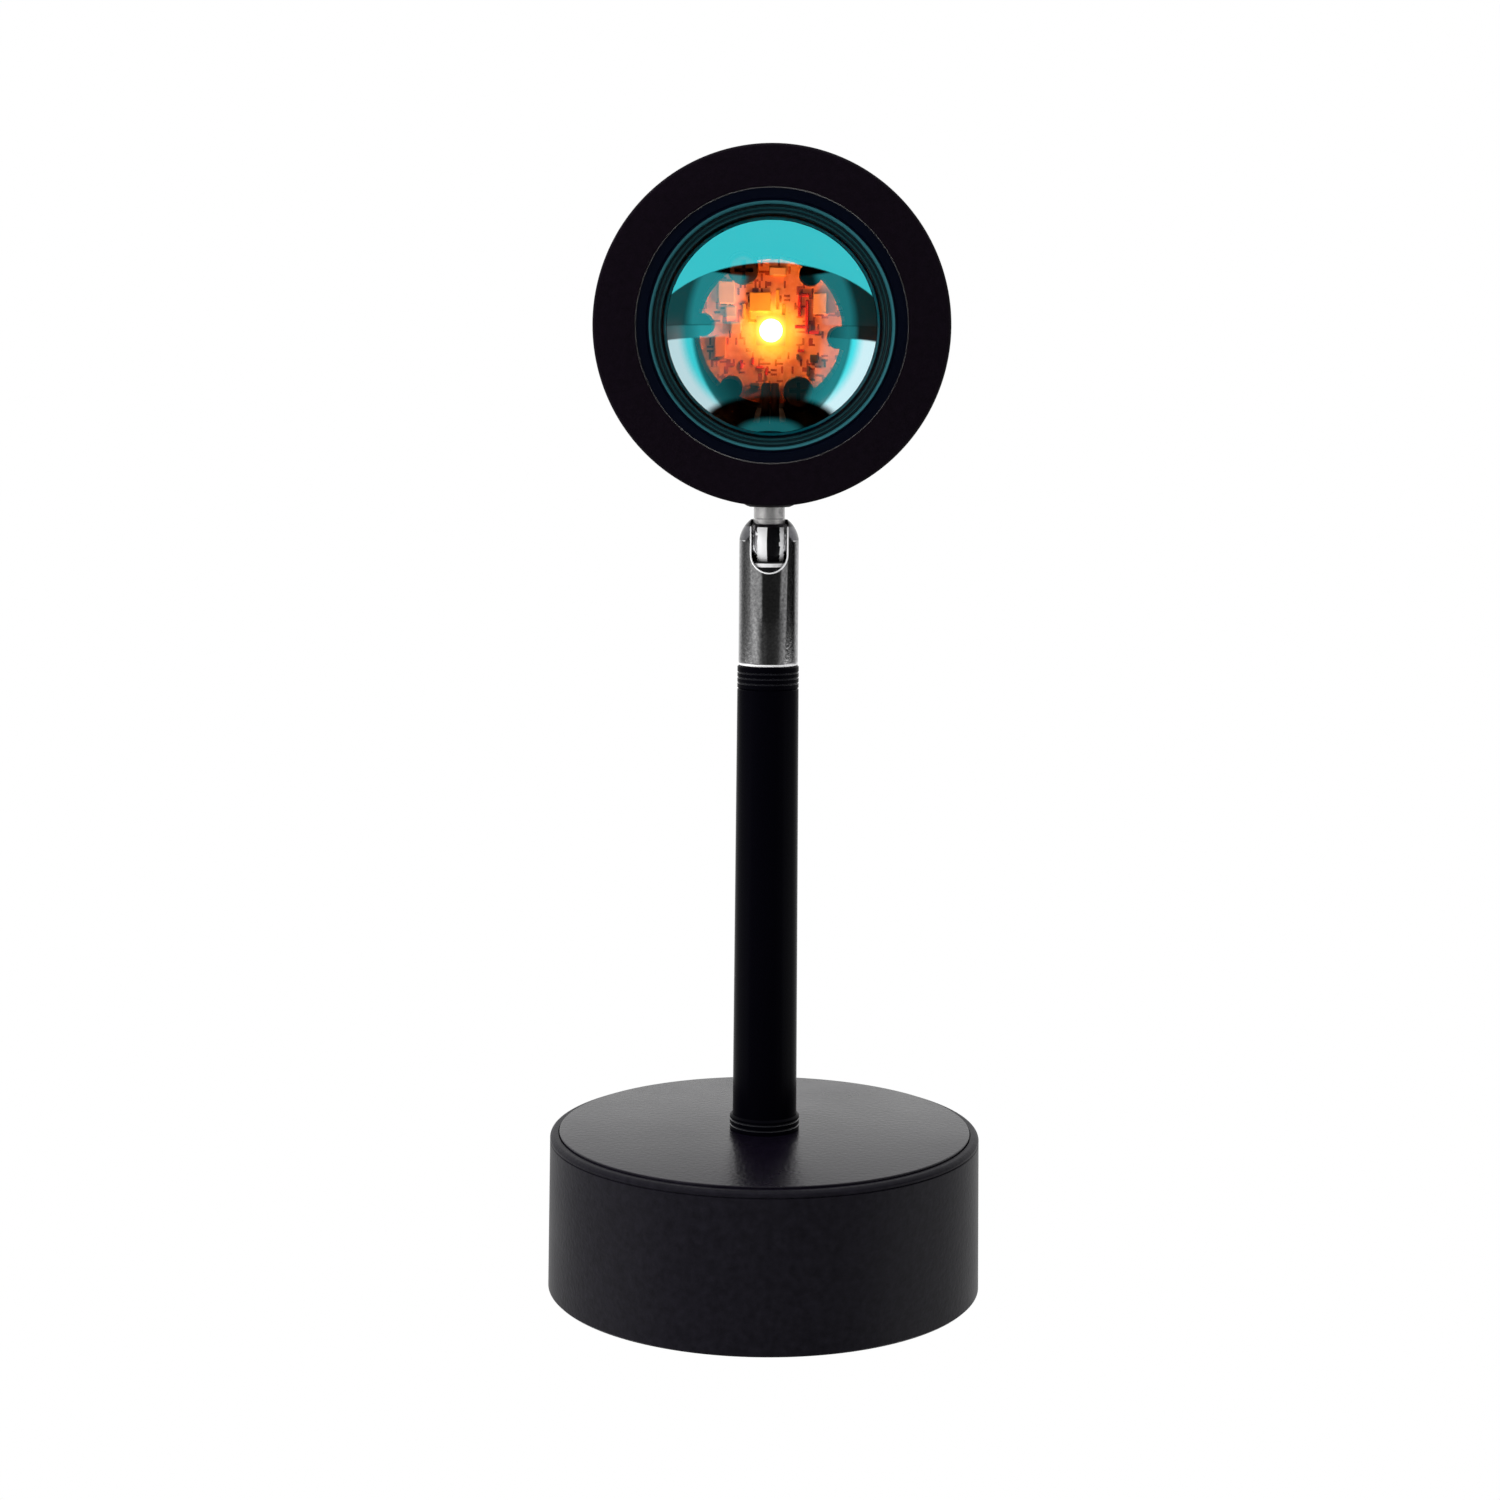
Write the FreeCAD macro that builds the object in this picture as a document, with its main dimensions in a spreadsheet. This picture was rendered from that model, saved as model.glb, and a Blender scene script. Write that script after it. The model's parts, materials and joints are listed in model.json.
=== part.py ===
"""Sunset projection lamp: a weighted round base, a slim pole, a ball swivel and a drum-shaped head.

Millimetres, +Z up, the lamp looks towards -Y, origin at the centre of the base on the table.
Pieces of the head are turned about the lens axis: there the second number of an outline
is the distance in front of the pole's axis, negative towards the rear.
"""
import FreeCAD, Part
import math
import os
import re

import Sketcher

doc = FreeCAD.newDocument("SunsetLamp")

# ---------------------------------------------------------------- sizes
sizes = [
    # base
    ("footGap", "1.0", "the shell stands this far above the table, on the pad"),
    ("shellTop", "40.6", "height of the shell's shoulder above the table"),
    ("baseBottomRadius", "54.25", "outside of the shell at its lower rim"),
    ("baseDraft", "0.55", "the shell is this much narrower under its shoulder"),
    ("shoulderRound", "1.2", "radius of the rounded shoulder"),
    ("shellWall", "2.6", "wall of the shell under its shoulder"),
    ("shellRoof", "2.5", "thickness of the shell's roof"),
    ("rimWidth", "2.3", "rim of the shell round the disc let into its top"),
    ("plateThickness", "1.5", ""),
    ("plateProud", "0.6", "the disc stands this far above the shoulder"),
    ("plateChamfer", "0.3", ""),
    ("seamGap", "0.25", "shadow gap round the disc"),
    ("lineDrop", "1.65", "turned line below the shoulder's top"),
    ("lineDepth", "0.35", "depth of each turned line"),
    ("lineWidth", "0.5", "width of each turned line"),
    ("coverThickness", "2.0", "bottom cover"),
    ("coverLift", "0.8", "the cover sits this far inside the shell's rim"),
    ("slipGap", "0.2", "clearance of covers in their housings"),
    ("coverScrewCount", "3", "screws of the bottom cover"),
    ("coverScrewTurn", "150", "turn of the first of them, in degrees"),
    ("coverScrewInset", "6.9", "they stand this far inside the shell's wall"),
    ("postRadius", "3.5", "posts that the cover is screwed to"),
    ("padInset", "5.25", "the anti-slip pad ends this far inside the shell's rim"),
    ("padInnerRadius", "28.0", ""),
    ("padHoleRadius", "3.6", "the pad is open round each screw"),
    ("ballastInset", "0.7", "the ballast ring ends this far inside the shell's wall"),
    ("ballastInnerRadius", "27.0", ""),
    ("ballastThickness", "12.0", ""),
    ("ballastGap", "15.0", "gap in the ring for the cord"),
    # small screws
    ("screwRadius", "1.5", "shank of every small screw"),
    ("screwHeadRadius", "2.8", "head of every small screw"),
    ("screwHeadDepth", "1.5", "countersunk head"),
    ("screwLength", "8.0", ""),
    ("driveRadius", "1.2", "hexagon socket in the screw heads"),
    ("driveDepth", "0.9", ""),
    # cord inlet
    ("cordHeight", "9.5", "height of the cord inlet above the table"),
    ("cordRadius", "1.9", "cord that passes through the grommet"),
    ("grommetRadius", "3.3", "neck of the grommet"),
    ("grommetFlangeRadius", "4.8", ""),
    ("grommetFlange", "1.3", "thickness of its flanges"),
    ("grommetBack", "0.35", "its inner flange stands this far off the curved wall"),
    ("grommetChamfer", "0.3", ""),
    ("inletWall", "1.7", "wall that the grommet grips"),
    ("snapGap", "0.05", "radial clearance of plugged and threaded fits"),
    # driver
    ("boardWidth", "30.0", "driver board, side to side"),
    ("boardDepth", "26.0", "driver board, front to rear"),
    ("boardThickness", "1.6", ""),
    ("standoffHeight", "4.0", ""),
    ("standoffRadius", "2.6", ""),
    ("boardInset", "3.2", "screw holes from the board's edges"),
    ("plugOffset", "7.0", "output plug behind the pole's axis"),
    ("plugWidth", "7.5", ""),
    ("plugDepth", "4.5", ""),
    ("plugHeight", "6.0", ""),
    # pole
    ("nippleRadius", "5.0", "hollow threaded rod that holds the pole on the base"),
    ("nippleBore", "3.4", ""),
    ("nippleBelow", "7.0", "rod below the roof of the shell"),
    ("nippleAbove", "12.0", "rod above the disc"),
    ("nutAcross", "15.0", "width across the flats of its nut"),
    ("nutHeight", "4.5", ""),
    ("washerRadius", "10.0", ""),
    ("washerThickness", "1.5", ""),
    ("footProud", "0.7", "the turned collar at the pole's foot is this much wider"),
    ("footHeight", "3.9", ""),
    ("footSpigot", "10.0", "part of the collar inside the pole"),
    ("footLines", "2", "fine lines turned into the collar"),
    ("footLineDrop", "1.25", "first of them below the collar's top"),
    ("footLinePitch", "1.4", ""),
    ("fineLine", "0.4", "width of the fine lines"),
    ("fineDepth", "0.25", "depth of the fine lines"),
    ("edgeChamfer", "0.5", "chamfer of turned edges"),
    ("poleTopRadius", "7.55", "outside of the pole at its top"),
    ("poleTaper", "0.45", "the pole is this much wider at its foot"),
    ("poleWall", "1.0", "wall of the pole at its top"),
    ("poleLength", "107.1", "tube between the collar and the cap"),
    ("capHeight", "5.6", "turned cap on the pole"),
    ("capLines", "3", "fine lines turned into the cap"),
    ("capLineDrop", "1.6", "first of them below the cap's top"),
    ("capLinePitch", "1.3", ""),
    ("capSpigot", "9.0", ""),
    ("runningGap", "0.1", "gap between faces that turn on each other"),
    ("studRecess", "1.0", "the stud ends this far inside the cap"),
    # swivel
    ("sleeveRadius", "7.3", "chromed swivel sleeve"),
    ("sleeveLength", "29.85", "from its lower end to the centre of the ball"),
    ("shelfThickness", "3.0", "floor of the sleeve"),
    ("sleeveWall", "1.02", "wall of the sleeve"),
    ("ballGap", "0.08", "clearance round the ball"),
    ("mouthRadius", "4.5", "round mouth in the sleeve's dome"),
    ("slotWidth", "9.0", "slot that the neck tilts into"),
    ("slotDrop", "2.55", "centre of the slot's round end below the ball's centre"),
    ("slotBevel", "0.3", "bright bevel round the sleeve's slot"),
    ("bevelDepth", "2.0", "the bevel's cone starts this far inside the slot's edge"),
    ("bevelShift", "0.05", "its wide end stands this far inside the sleeve's front"),
    ("studRadius", "3.5", "hollow stud that the sleeve turns on"),
    ("studBore", "2.0", ""),
    ("studHeadInset", "0.5", "the stud's head is this much narrower than the ball"),
    ("studHeadHeight", "4.0", ""),
    ("frictionWasher", "0.6", "washer under the stud's head"),
    ("springCount", "4", "disc springs below the ball seat"),
    ("springThickness", "0.6", ""),
    ("springCone", "0.4", "height of each spring's cone"),
    ("seatDrop", "4.3", "top of the ball seat below the ball's centre"),
    ("seatBore", "2.4", ""),
    # neck
    ("neckRadius", "3.8", "neck of the ball"),
    ("neckBore", "1.7", "bore for the lead"),
    ("threadRadius", "3.4", "threaded end of the neck"),
    ("ballCut", "0.5", "cut off under the ball"),
    ("neckFlare", "3.0", "flare of the bore under the ball"),
    ("bossRadius", "6.6", "black boss under the head"),
    ("bossLift", "8.85", "underside of the boss above the ball's centre"),
    ("neckNutAcross", "11.0", ""),
    ("neckNutHeight", "3.5", ""),
    ("neckWasherRadius", "6.5", ""),
    ("neckWasherThickness", "0.8", ""),
    ("threadProud", "1.5", "thread beyond the nut"),
    ("seatRise", "1.0", "flat inside the head above the round wall"),
    ("seatPad", "2.2", "depth of the boss under that flat"),
    ("seatMargin", "0.6", "it is this much wider than the washer"),
    # head
    ("bossHeight", "1.2", "from the boss's underside to the level of the bezel's edge"),
    ("bezelRadius", "41.1", ""),
    ("bezelFront", "35.0", "front face of the bezel"),
    ("bezelDepth", "12.0", ""),
    ("bezelSpigot", "6.0", "part of the bezel inside the housing"),
    ("bezelRound", "0.8", "rounded edges of the bezel"),
    ("bezelStep", "1.6", "the housing is this much narrower than the bezel"),
    ("housingTaper", "1.1", "and this much narrower at its rear end"),
    ("frontWall", "1.8", "wall of the housing round the bezel's spigot and the heat sink's disc"),
    ("rearWall", "1.9", "wall at its rear end"),
    ("sinkSeat", "8.4", "shoulder in the housing that carries the heat sink"),
    ("housingRear", "-19.5", "rear end of the housing"),
    ("coverCapThickness", "5.0", "rear cover behind the housing"),
    ("coverRound", "3.0", "rounded edge of the rear cover"),
    ("coverSpigot", "3.0", ""),
    ("coverWall", "2.0", ""),
    ("ventCount", "12", "slots in the rear cover"),
    ("ventWidth", "2.4", ""),
    ("ventInner", "11.0", "slots from this radius"),
    ("ventMargin", "7.0", "to this far inside the screws' circle"),
    ("rearScrewInset", "7.0", "the screws stand this far inside the housing's wall"),
    ("rearScrewCount", "3", ""),
    ("sinkPostRadius", "3.2", "posts for the rear cover's screws"),
    ("sinkDisc", "3.0", "thickness of the heat sink's disc"),
    ("sinkCoreRadius", "9.0", ""),
    ("finCount", "12", ""),
    ("finThickness", "1.6", ""),
    ("finInset", "9.5", "the fins end this far inside the housing's wall"),
    ("finRear", "-12.0", "rear end of the fins"),
    # optics
    ("ringOuter", "31.4", "lens retaining ring"),
    ("ringWidth", "3.9", ""),
    ("ringRecess", "0.4", "its face behind the bezel's"),
    ("ringLip", "1.3", "thickness of its lip"),
    ("ringSkirt", "2.0", ""),
    ("ringLineInset", "1.2", "fine line in its face, outside its inner edge"),
    ("ringCover", "2.3", "the ring is this much wider than the lens"),
    ("lensEdge", "2.8", "thickness of the lens flange"),
    ("lensChamfer", "0.3", ""),
    ("domeInset", "4.2", "the dome rises this far inside the lens's edge"),
    ("domeCurve", "34.5", "radius of curvature of the dome"),
    ("rearCurve", "120.0", "radius of curvature of the lens's rear"),
    ("rearInset", "0.3", "that curve begins this far inside the ledge's opening"),
    ("gasketThickness", "0.6", ""),
    ("gasketWidth", "2.0", ""),
    ("ledgeWidth", "2.6", "ledge that carries the gasket"),
    ("ledgeThickness", "2.0", ""),
    ("bezelWall", "2.2", "wall of the bezel behind the ledge"),
    ("baffleInset", "1.0", "the light baffle is this much narrower than the opening in the ledge"),
    ("baffleWall", "1.2", ""),
    ("baffleGap", "1.8", "gap in its floor round the LED board"),
    ("thermalPad", "0.4", ""),
    ("thermalInset", "0.3", "the pad is this much smaller than the board"),
    ("notchGap", "0.1", "its notches are this much wider"),
    ("starRadius", "10.0", "LED board"),
    ("starThickness", "1.6", ""),
    ("starNotches", "6", ""),
    ("notchRadius", "1.6", ""),
    ("notchCircle", "9.6", ""),
    ("notchTurn", "-5", "turn of the first notch, in degrees"),
    ("ledSide", "4.2", "LED package"),
    ("ledHeight", "0.7", ""),
    ("ledDome", "1.7", ""),
    ("boardScrewLength", "5.0", ""),
    ("boardScrewRadius", "1.25", ""),
    ("boardScrewHead", "2.2", ""),
    ("boardScrewRise", "1.3", "height of its head"),
    ("boardDriveAcross", "1.92", "hexagon socket across its flats"),
    ("boardDriveFloor", "0.6", "floor of that socket above the board"),
    # leads
    ("wireRadius", "0.6", "each core of the leads"),
    ("wireSpacing", "1.3", "from core to core"),
    ("leadHole", "2.0", "hole for the lead in the heat sink's disc"),
    ("leadOffset", "10.75", "lead below the lens axis where it comes forward"),
    ("leadEnd", "7.6", "end of the lead on the LED board, below the lens axis"),
    ("leadRise", "2.5", "the pole's lead rises this far from the plug before it bends"),
    ("leadBendLow", "2.8", "radius of that bend"),
    ("leadBendPole", "4.0", "radius of the bend into the pole"),
    ("leadBendHead", "5.0", "radius of the bend towards the LED"),
    ("leadBendBoard", "1.2", "radius of the bend up the LED board"),
    ("leadClimb", "2.0", "and climbs by this on its way to the pole's axis"),
    ("leadGap", "0.3", "the lead is parted by this at the ball and at the neck's end"),
    # making
    ("overlap", "0.5", "solids that are joined into one piece run this far into each other"),
    ("past", "1.0", "a cutting solid runs this far past the faces it cuts"),
    # sizes that follow from those above
    ("baseShoulderRadius", "=baseBottomRadius - baseDraft", "outside of the shell under its shoulder"),
    ("shellInnerRadius", "=baseShoulderRadius - shellWall", ""),
    ("plateRadius", "=baseShoulderRadius - rimWidth", "disc let into the top of the shell"),
    ("coverScrewCircle", "=shellInnerRadius - coverScrewInset", ""),
    ("padOuterRadius", "=baseBottomRadius - padInset", ""),
    ("ballastOuterRadius", "=shellInnerRadius - ballastInset", ""),
    ("poleFootRadius", "=poleTopRadius + poleTaper", ""),
    ("poleBore", "=poleTopRadius - poleWall", ""),
    ("footRadius", "=poleFootRadius + footProud", ""),
    ("ballRadius", "=sleeveRadius - sleeveWall - ballGap", ""),
    ("ballFlat", "=ballRadius - ballCut", "flat under the ball, below its centre"),
    ("studHeadRadius", "=ballRadius - studHeadInset", ""),
    ("headLift", "=bossLift + bossHeight + bezelRadius", "lens axis above the ball's centre"),
    ("housingFrontRadius", "=bezelRadius - bezelStep", ""),
    ("housingRearRadius", "=housingFrontRadius - housingTaper", ""),
    ("housingFrontBore", "=housingFrontRadius - frontWall", ""),
    ("housingRearBore", "=housingRearRadius - rearWall", ""),
    ("bezelWallRadius", "=housingFrontBore - bezelWall", ""),
    ("rearScrewCircle", "=housingRearBore - rearScrewInset", ""),
    ("ventOuter", "=rearScrewCircle - ventMargin", ""),
    ("finOuter", "=housingRearBore - finInset", ""),
    ("ringInner", "=ringOuter - ringWidth", ""),
    ("ringLine", "=ringInner + ringLineInset", ""),
    ("lensRadius", "=ringOuter - ringCover", ""),
    ("domeRadius", "=lensRadius - domeInset", ""),
    ("gasketInner", "=lensRadius - gasketWidth", ""),
    ("ledgeInner", "=lensRadius - ledgeWidth", ""),
    ("baffleRadius", "=ledgeInner - baffleInset", ""),
    ("baffleHole", "=starRadius + baffleGap", ""),
    ("coverTop", "=footGap + coverLift + coverThickness", "top of the bottom cover"),
    ("plateTop", "=shellTop + plateProud", "top of the disc"),
    ("recessFloor", "=plateTop - plateThickness", "floor of the disc's recess"),
    ("roofUnder", "=recessFloor - shellRoof", "underside of the shell's roof"),
    ("boardUnder", "=coverTop + standoffHeight", "underside of the driver board"),
    ("boardTop", "=boardUnder + boardThickness", ""),
    ("footTop", "=plateTop + footHeight", "the tube stands here"),
    ("tubeTop", "=footTop + poleLength", ""),
    ("capTop", "=tubeTop + capHeight", ""),
    ("sleeveBottom", "=capTop + runningGap", ""),
    ("ballHeight", "=sleeveBottom + sleeveLength", "centre of the ball"),
    ("sleeveBore", "=ballRadius + ballGap", ""),
    ("shelfTop", "=sleeveBottom + shelfThickness", ""),
    ("studHeadUnder", "=shelfTop + frictionWasher + runningGap", ""),
    ("studTop", "=studHeadUnder + studHeadHeight", ""),
    ("springPitch", "=springThickness + springCone", ""),
    ("springsBottom", "=studTop + runningGap", ""),
    ("springsTop", "=springsBottom + springCount * springPitch", ""),
    ("seatTop", "=ballHeight - seatDrop", ""),
    ("bossUnder", "=ballHeight + bossLift", ""),
    ("headHeight", "=ballHeight + headLift", "lens axis above the table"),
    ("innerSeat", "=headHeight - housingRearBore + seatRise", "flat inside the head for the neck's washer"),
    ("neckNutUnder", "=innerSeat + neckWasherThickness", ""),
    ("neckTop", "=neckNutUnder + neckNutHeight + threadProud", "end of the thread"),
    ("bezelRear", "=bezelFront - bezelDepth", "the housing begins here"),
    ("ringFront", "=bezelFront - ringRecess", ""),
    ("lensSeatFront", "=ringFront - ringLip", "front of the lens flange"),
    ("lensRear", "=lensSeatFront - lensEdge", ""),
    ("ledgeFront", "=lensRear - gasketThickness", ""),
    ("ledgeRear", "=ledgeFront - ledgeThickness", ""),
    ("ringStep", "=lensSeatFront - ringSkirt", ""),
    ("domeRise", "=domeCurve - sqrt(domeCurve * domeCurve - domeRadius * domeRadius)", ""),
    ("rearRadius", "=ledgeInner - rearInset", ""),
    ("rearRise", "=rearCurve - sqrt(rearCurve * rearCurve - rearRadius * rearRadius)", ""),
    ("sinkFront", "=sinkSeat + sinkDisc", "front face of the heat sink"),
    ("starRear", "=sinkFront + thermalPad", ""),
    ("starFront", "=starRear + starThickness", ""),
    ("coverFront", "=housingRear", "the rear cover meets the housing here"),
    ("coverInside", "=housingRear - coverCapThickness + coverWall", ""),
    ("coverOutside", "=housingRear - coverCapThickness", ""),
]

# driver components: width, depth and height, then their place beside and behind the pole's axis
driverParts = {
    "controller": ("5.0", "4.0", "1.5", "0.0", "-5.0"),
    "diode": ("2.6", "4.4", "2.2", "-8.0", "6.5"),
    "resistor": ("3.2", "1.6", "0.6", "0.0", "0.5"),
}
# round ones: radius and height, then their place
driverCans = {
    "coil": ("3.6", "5.0", "-8.0", "0.0"),
    "capacitor": ("2.6", "7.5", "9.0", "-4.0"),
}
# parts on the LED board: width, height and thickness, then their place beside and above the lens axis
boardChips = {
    "pad": ("3.0", "2.2", "0.4", "-1.9", "4.4"),
    "upperLeft": ("1.5", "2.0", "0.6", "-5.8", "1.9"),
    "middleLeft": ("1.5", "2.1", "0.6", "-5.0", "-0.9"),
    "lowerLeft": ("2.0", "2.2", "0.5", "-6.6", "-3.9"),
    "barInner": ("0.8", "6.0", "0.5", "3.6", "1.7"),
    "barOuter": ("0.8", "6.0", "0.5", "5.0", "1.7"),
    "upperRight": ("1.3", "2.6", "0.5", "6.9", "3.4"),
}
for table, columns in ((driverParts, ("Width", "Depth", "Height", "Aside", "Behind")),
                       (driverCans, ("Radius", "Height", "Aside", "Behind")),
                       (boardChips, ("Width", "Tall", "Thick", "Aside", "Above"))):
    for name, values in table.items():
        for column, value in zip(columns, values):
            sizes.append((name + column, value, ""))

sheet = doc.addObject("Spreadsheet::Sheet", "Sizes")
aliases = set()
for row, (alias, content, note) in enumerate(sizes, start=1):
    sheet.set("A%d" % row, alias)
    sheet.set("B%d" % row, content)
    sheet.set("C%d" % row, note)
    sheet.setAlias("B%d" % row, alias)
    aliases.add(alias)
doc.recompute()


def bound(text):
    """The expression with each size's name led back to the sheet."""
    return re.sub(r"[A-Za-z]+",
                  lambda word: ("Sizes." if word.group() in aliases else "") + word.group(),
                  text)


def size(text):
    """The number that a size, or an expression of sizes, comes to."""
    return float(sheet.evalExpression(text))


def bind(thing, name, text):
    thing.setExpression(name, bound(text))


# ---------------------------------------------------------------- ways of making a piece
towardsFront = FreeCAD.Rotation(FreeCAD.Vector(1, 0, 0), 90)
towardsRear = FreeCAD.Rotation(FreeCAD.Vector(1, 0, 0), -90)
upwards = FreeCAD.Rotation()


def put(thing, x, y, z, turn=upwards):
    """Set where a solid stands, with its place bound to the sheet."""
    thing.Placement = FreeCAD.Placement(FreeCAD.Vector(0, 0, 0), turn)
    for axis, text in zip("xyz", (x, y, z)):
        if text != "0":
            bind(thing, "Placement.Base." + axis, text)
    return thing


def cylinder(name, radius, length, x="0", y="0", z="0", turn=upwards):
    thing = doc.addObject("Part::Cylinder", name)
    bind(thing, "Radius", radius)
    bind(thing, "Height", length)
    return put(thing, x, y, z, turn)


def cone(name, first, second, length, x="0", y="0", z="0", turn=upwards):
    thing = doc.addObject("Part::Cone", name)
    bind(thing, "Radius1", first)
    bind(thing, "Radius2", second)
    bind(thing, "Height", length)
    return put(thing, x, y, z, turn)


def ball(name, radius, x="0", y="0", z="0"):
    thing = doc.addObject("Part::Sphere", name)
    bind(thing, "Radius", radius)
    return put(thing, x, y, z)


def hexagon(name, across, length, x="0", y="0", z="0", turn=upwards):
    thing = doc.addObject("Part::Prism", name)
    thing.Polygon = 6
    bind(thing, "Circumradius", "(%s) / sqrt(3)" % across)
    bind(thing, "Height", length)
    return put(thing, x, y, z, turn)


def block(name, width, depth, height, x, y, z):
    """A box centred on x and y that stands on z."""
    thing = doc.addObject("Part::Box", name)
    bind(thing, "Length", width)
    bind(thing, "Width", depth)
    bind(thing, "Height", height)
    return put(thing, "%s - (%s) / 2" % (x, width), "%s - (%s) / 2" % (y, depth), z)


def ahead(name, radius, start, length, x="0", up="0"):
    """A cylinder along the lens axis, from start towards the front."""
    return cylinder(name, radius, length, x, "-(%s)" % start, "headHeight + (%s)" % up, towardsFront)


def fused(label, things):
    thing = doc.addObject("Part::MultiFuse", label)
    thing.Shapes = things
    thing.Label = label
    return thing


def cut(label, base, tools):
    """The base less the tools, which are joined first where there are several."""
    thing = doc.addObject("Part::Cut", label)
    thing.Base = base
    thing.Tool = tools[0] if len(tools) == 1 else fused(label + "_tools", tools)
    thing.Label = label
    return thing


def grouped(label, things):
    """Separate solids of one kind, kept as one node."""
    thing = doc.addObject("Part::Compound", label)
    thing.Links = things
    thing.Label = label
    return thing


def outline(body, points, role="XZ_Plane"):
    """A closed outline on a plane of the body. A third entry is the radius of an arc to the next
    point, positive where its centre lies to the left of the way there."""
    plane = [f for f in body.Origin.OriginFeatures if f.Role == role][0]
    sketch = body.newObject("Sketcher::SketchObject", body.Name + "_outline")
    sketch.AttachmentSupport = [(plane, "")]
    sketch.MapMode = "FlatFace"
    spots = [FreeCAD.Vector(size(p[0]), size(p[1]), 0) for p in points]
    starts = []
    ends = []
    for i, point in enumerate(points):
        here, there = spots[i], spots[(i + 1) % len(spots)]
        if len(point) == 2:
            sketch.addGeometry(Part.LineSegment(here, there), False)
            starts.append((i, 1))
            ends.append((i, 2))
            continue
        sign = -1 if point[2].startswith("-") else 1
        radius = abs(size(point[2]))
        half = (there - here) / 2
        offset = math.sqrt(max(radius * radius - half.Length ** 2, 0))
        left = FreeCAD.Vector(-half.y, half.x, 0).normalize()
        centre = here + half + left * offset * sign
        first, last = (here, there) if sign > 0 else (there, here)
        angles = [math.atan2(v.y - centre.y, v.x - centre.x) for v in (first, last)]
        circle = Part.Circle(centre, FreeCAD.Vector(0, 0, 1), radius)
        sketch.addGeometry(Part.ArcOfCircle(circle, angles[0], angles[1]), False)
        starts.append((i, 1 if sign > 0 else 2))
        ends.append((i, 2 if sign > 0 else 1))
        rule = sketch.addConstraint(Sketcher.Constraint("Radius", i, radius))
        bind(sketch, "Constraints[%d]" % rule, point[2].lstrip("-"))
    for i, point in enumerate(points):
        after = (i + 1) % len(points)
        sketch.addConstraint(Sketcher.Constraint("Coincident", *ends[i], *starts[after]))
        for kind, axis, text, value in (("DistanceX", -2, point[0], spots[i].x),
                                        ("DistanceY", -1, point[1], spots[i].y)):
            if text == "0":
                sketch.addConstraint(Sketcher.Constraint("PointOnObject", *starts[i], axis))
            else:
                rule = sketch.addConstraint(Sketcher.Constraint(kind, -1, 1, *starts[i], value))
                bind(sketch, "Constraints[%d]" % rule, text)
    return sketch


def turned(label, points, onLensAxis=False):
    """A body turned from an outline, about the pole's axis or about the lens axis."""
    body = doc.addObject("PartDesign::Body", label)
    body.Label = label
    sketch = outline(body, points)
    spin = body.newObject("PartDesign::Revolution", label + "_spin")
    spin.Profile = sketch
    spin.ReferenceAxis = (sketch, ["V_Axis"])
    spin.Angle = 360
    sketch.Visibility = False
    body.Tip = spin
    if onLensAxis:
        put(body, "0", "0", "headHeight", towardsFront)
    return body


def lines(radius, centres, width, depth):
    """Points down a turned side, with a groove of three corners at each centre."""
    points = []
    for centre in centres:
        points.append((radius, "%s + (%s) / 2" % (centre, width)))
        points.append(("%s - %s" % (radius, depth), centre))
        points.append((radius, "%s - (%s) / 2" % (centre, width)))
    return points


def spread(count, circle, first=0):
    """Places of a bolt circle, as pairs of expressions."""
    return [("%s * cos(%g deg)" % (circle, first + 360 * i / count),
             "%s * sin(%g deg)" % (circle, first + 360 * i / count)) for i in range(count)]


def countersunk(name, length, x, y, z, turn=upwards):
    """One screw: its head's face at z, its shank along the turned axis."""
    head = cone(name + "_head", "screwHeadRadius", "screwRadius", "screwHeadDepth", x, y, z, turn)
    shank = cylinder(name + "_shank", "screwRadius", length, x, y, z, turn)
    drive = hexagon(name + "_drive", "driveRadius * 2", "driveDepth", x, y, z, turn)
    return cut(name, fused(name + "_blank", [head, shank]), [drive])


def lead(label, route, bends, sideways):
    """A two-core lead: a pair of round cores along straight runs joined by tangent arcs."""
    corners = [FreeCAD.Vector(*[size(t) for t in spot]) for spot in route]
    edges = []
    here = corners[0]
    radii = [size(bend) for bend in bends]
    for i, bend in enumerate(radii, start=1):
        back = (corners[i - 1] - corners[i]).normalize()
        on = (corners[i + 1] - corners[i]).normalize()
        half = back.getAngle(on) / 2
        reach = bend / math.tan(half)
        enter = corners[i] + back * reach
        leave = corners[i] + on * reach
        middle = corners[i] + (back + on).normalize() * (bend / math.sin(half) - bend)
        edges.append(Part.LineSegment(here, enter).toShape())
        edges.append(Part.Arc(enter, middle, leave).toShape())
        here = leave
    edges.append(Part.LineSegment(here, corners[-1]).toShape())
    path = Part.Wire(edges)
    ring = Part.Wire(Part.makeCircle(size("wireRadius"), corners[0], corners[1] - corners[0]))
    core = path.makePipeShell([ring], True, False)
    expected = math.pi * size("wireRadius") ** 2 * path.Length
    print("%s: core length %.1f, bends %s, volume against section %.3f"
          % (label, path.Length, radii, core.Volume / expected))
    step = size("wireSpacing") / 2
    cores = []
    for side in (-step, step):
        one = core.copy()
        one.translate(FreeCAD.Vector(*sideways) * side)
        cores.append(one)
    thing = doc.addObject("Part::Feature", label)
    thing.Label = label
    thing.Shape = Part.makeCompound(cores)
    return thing


parts = []

# ---------------------------------------------------------------- base
coverScrews = spread(int(size("coverScrewCount")), "coverScrewCircle", size("coverScrewTurn"))

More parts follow.
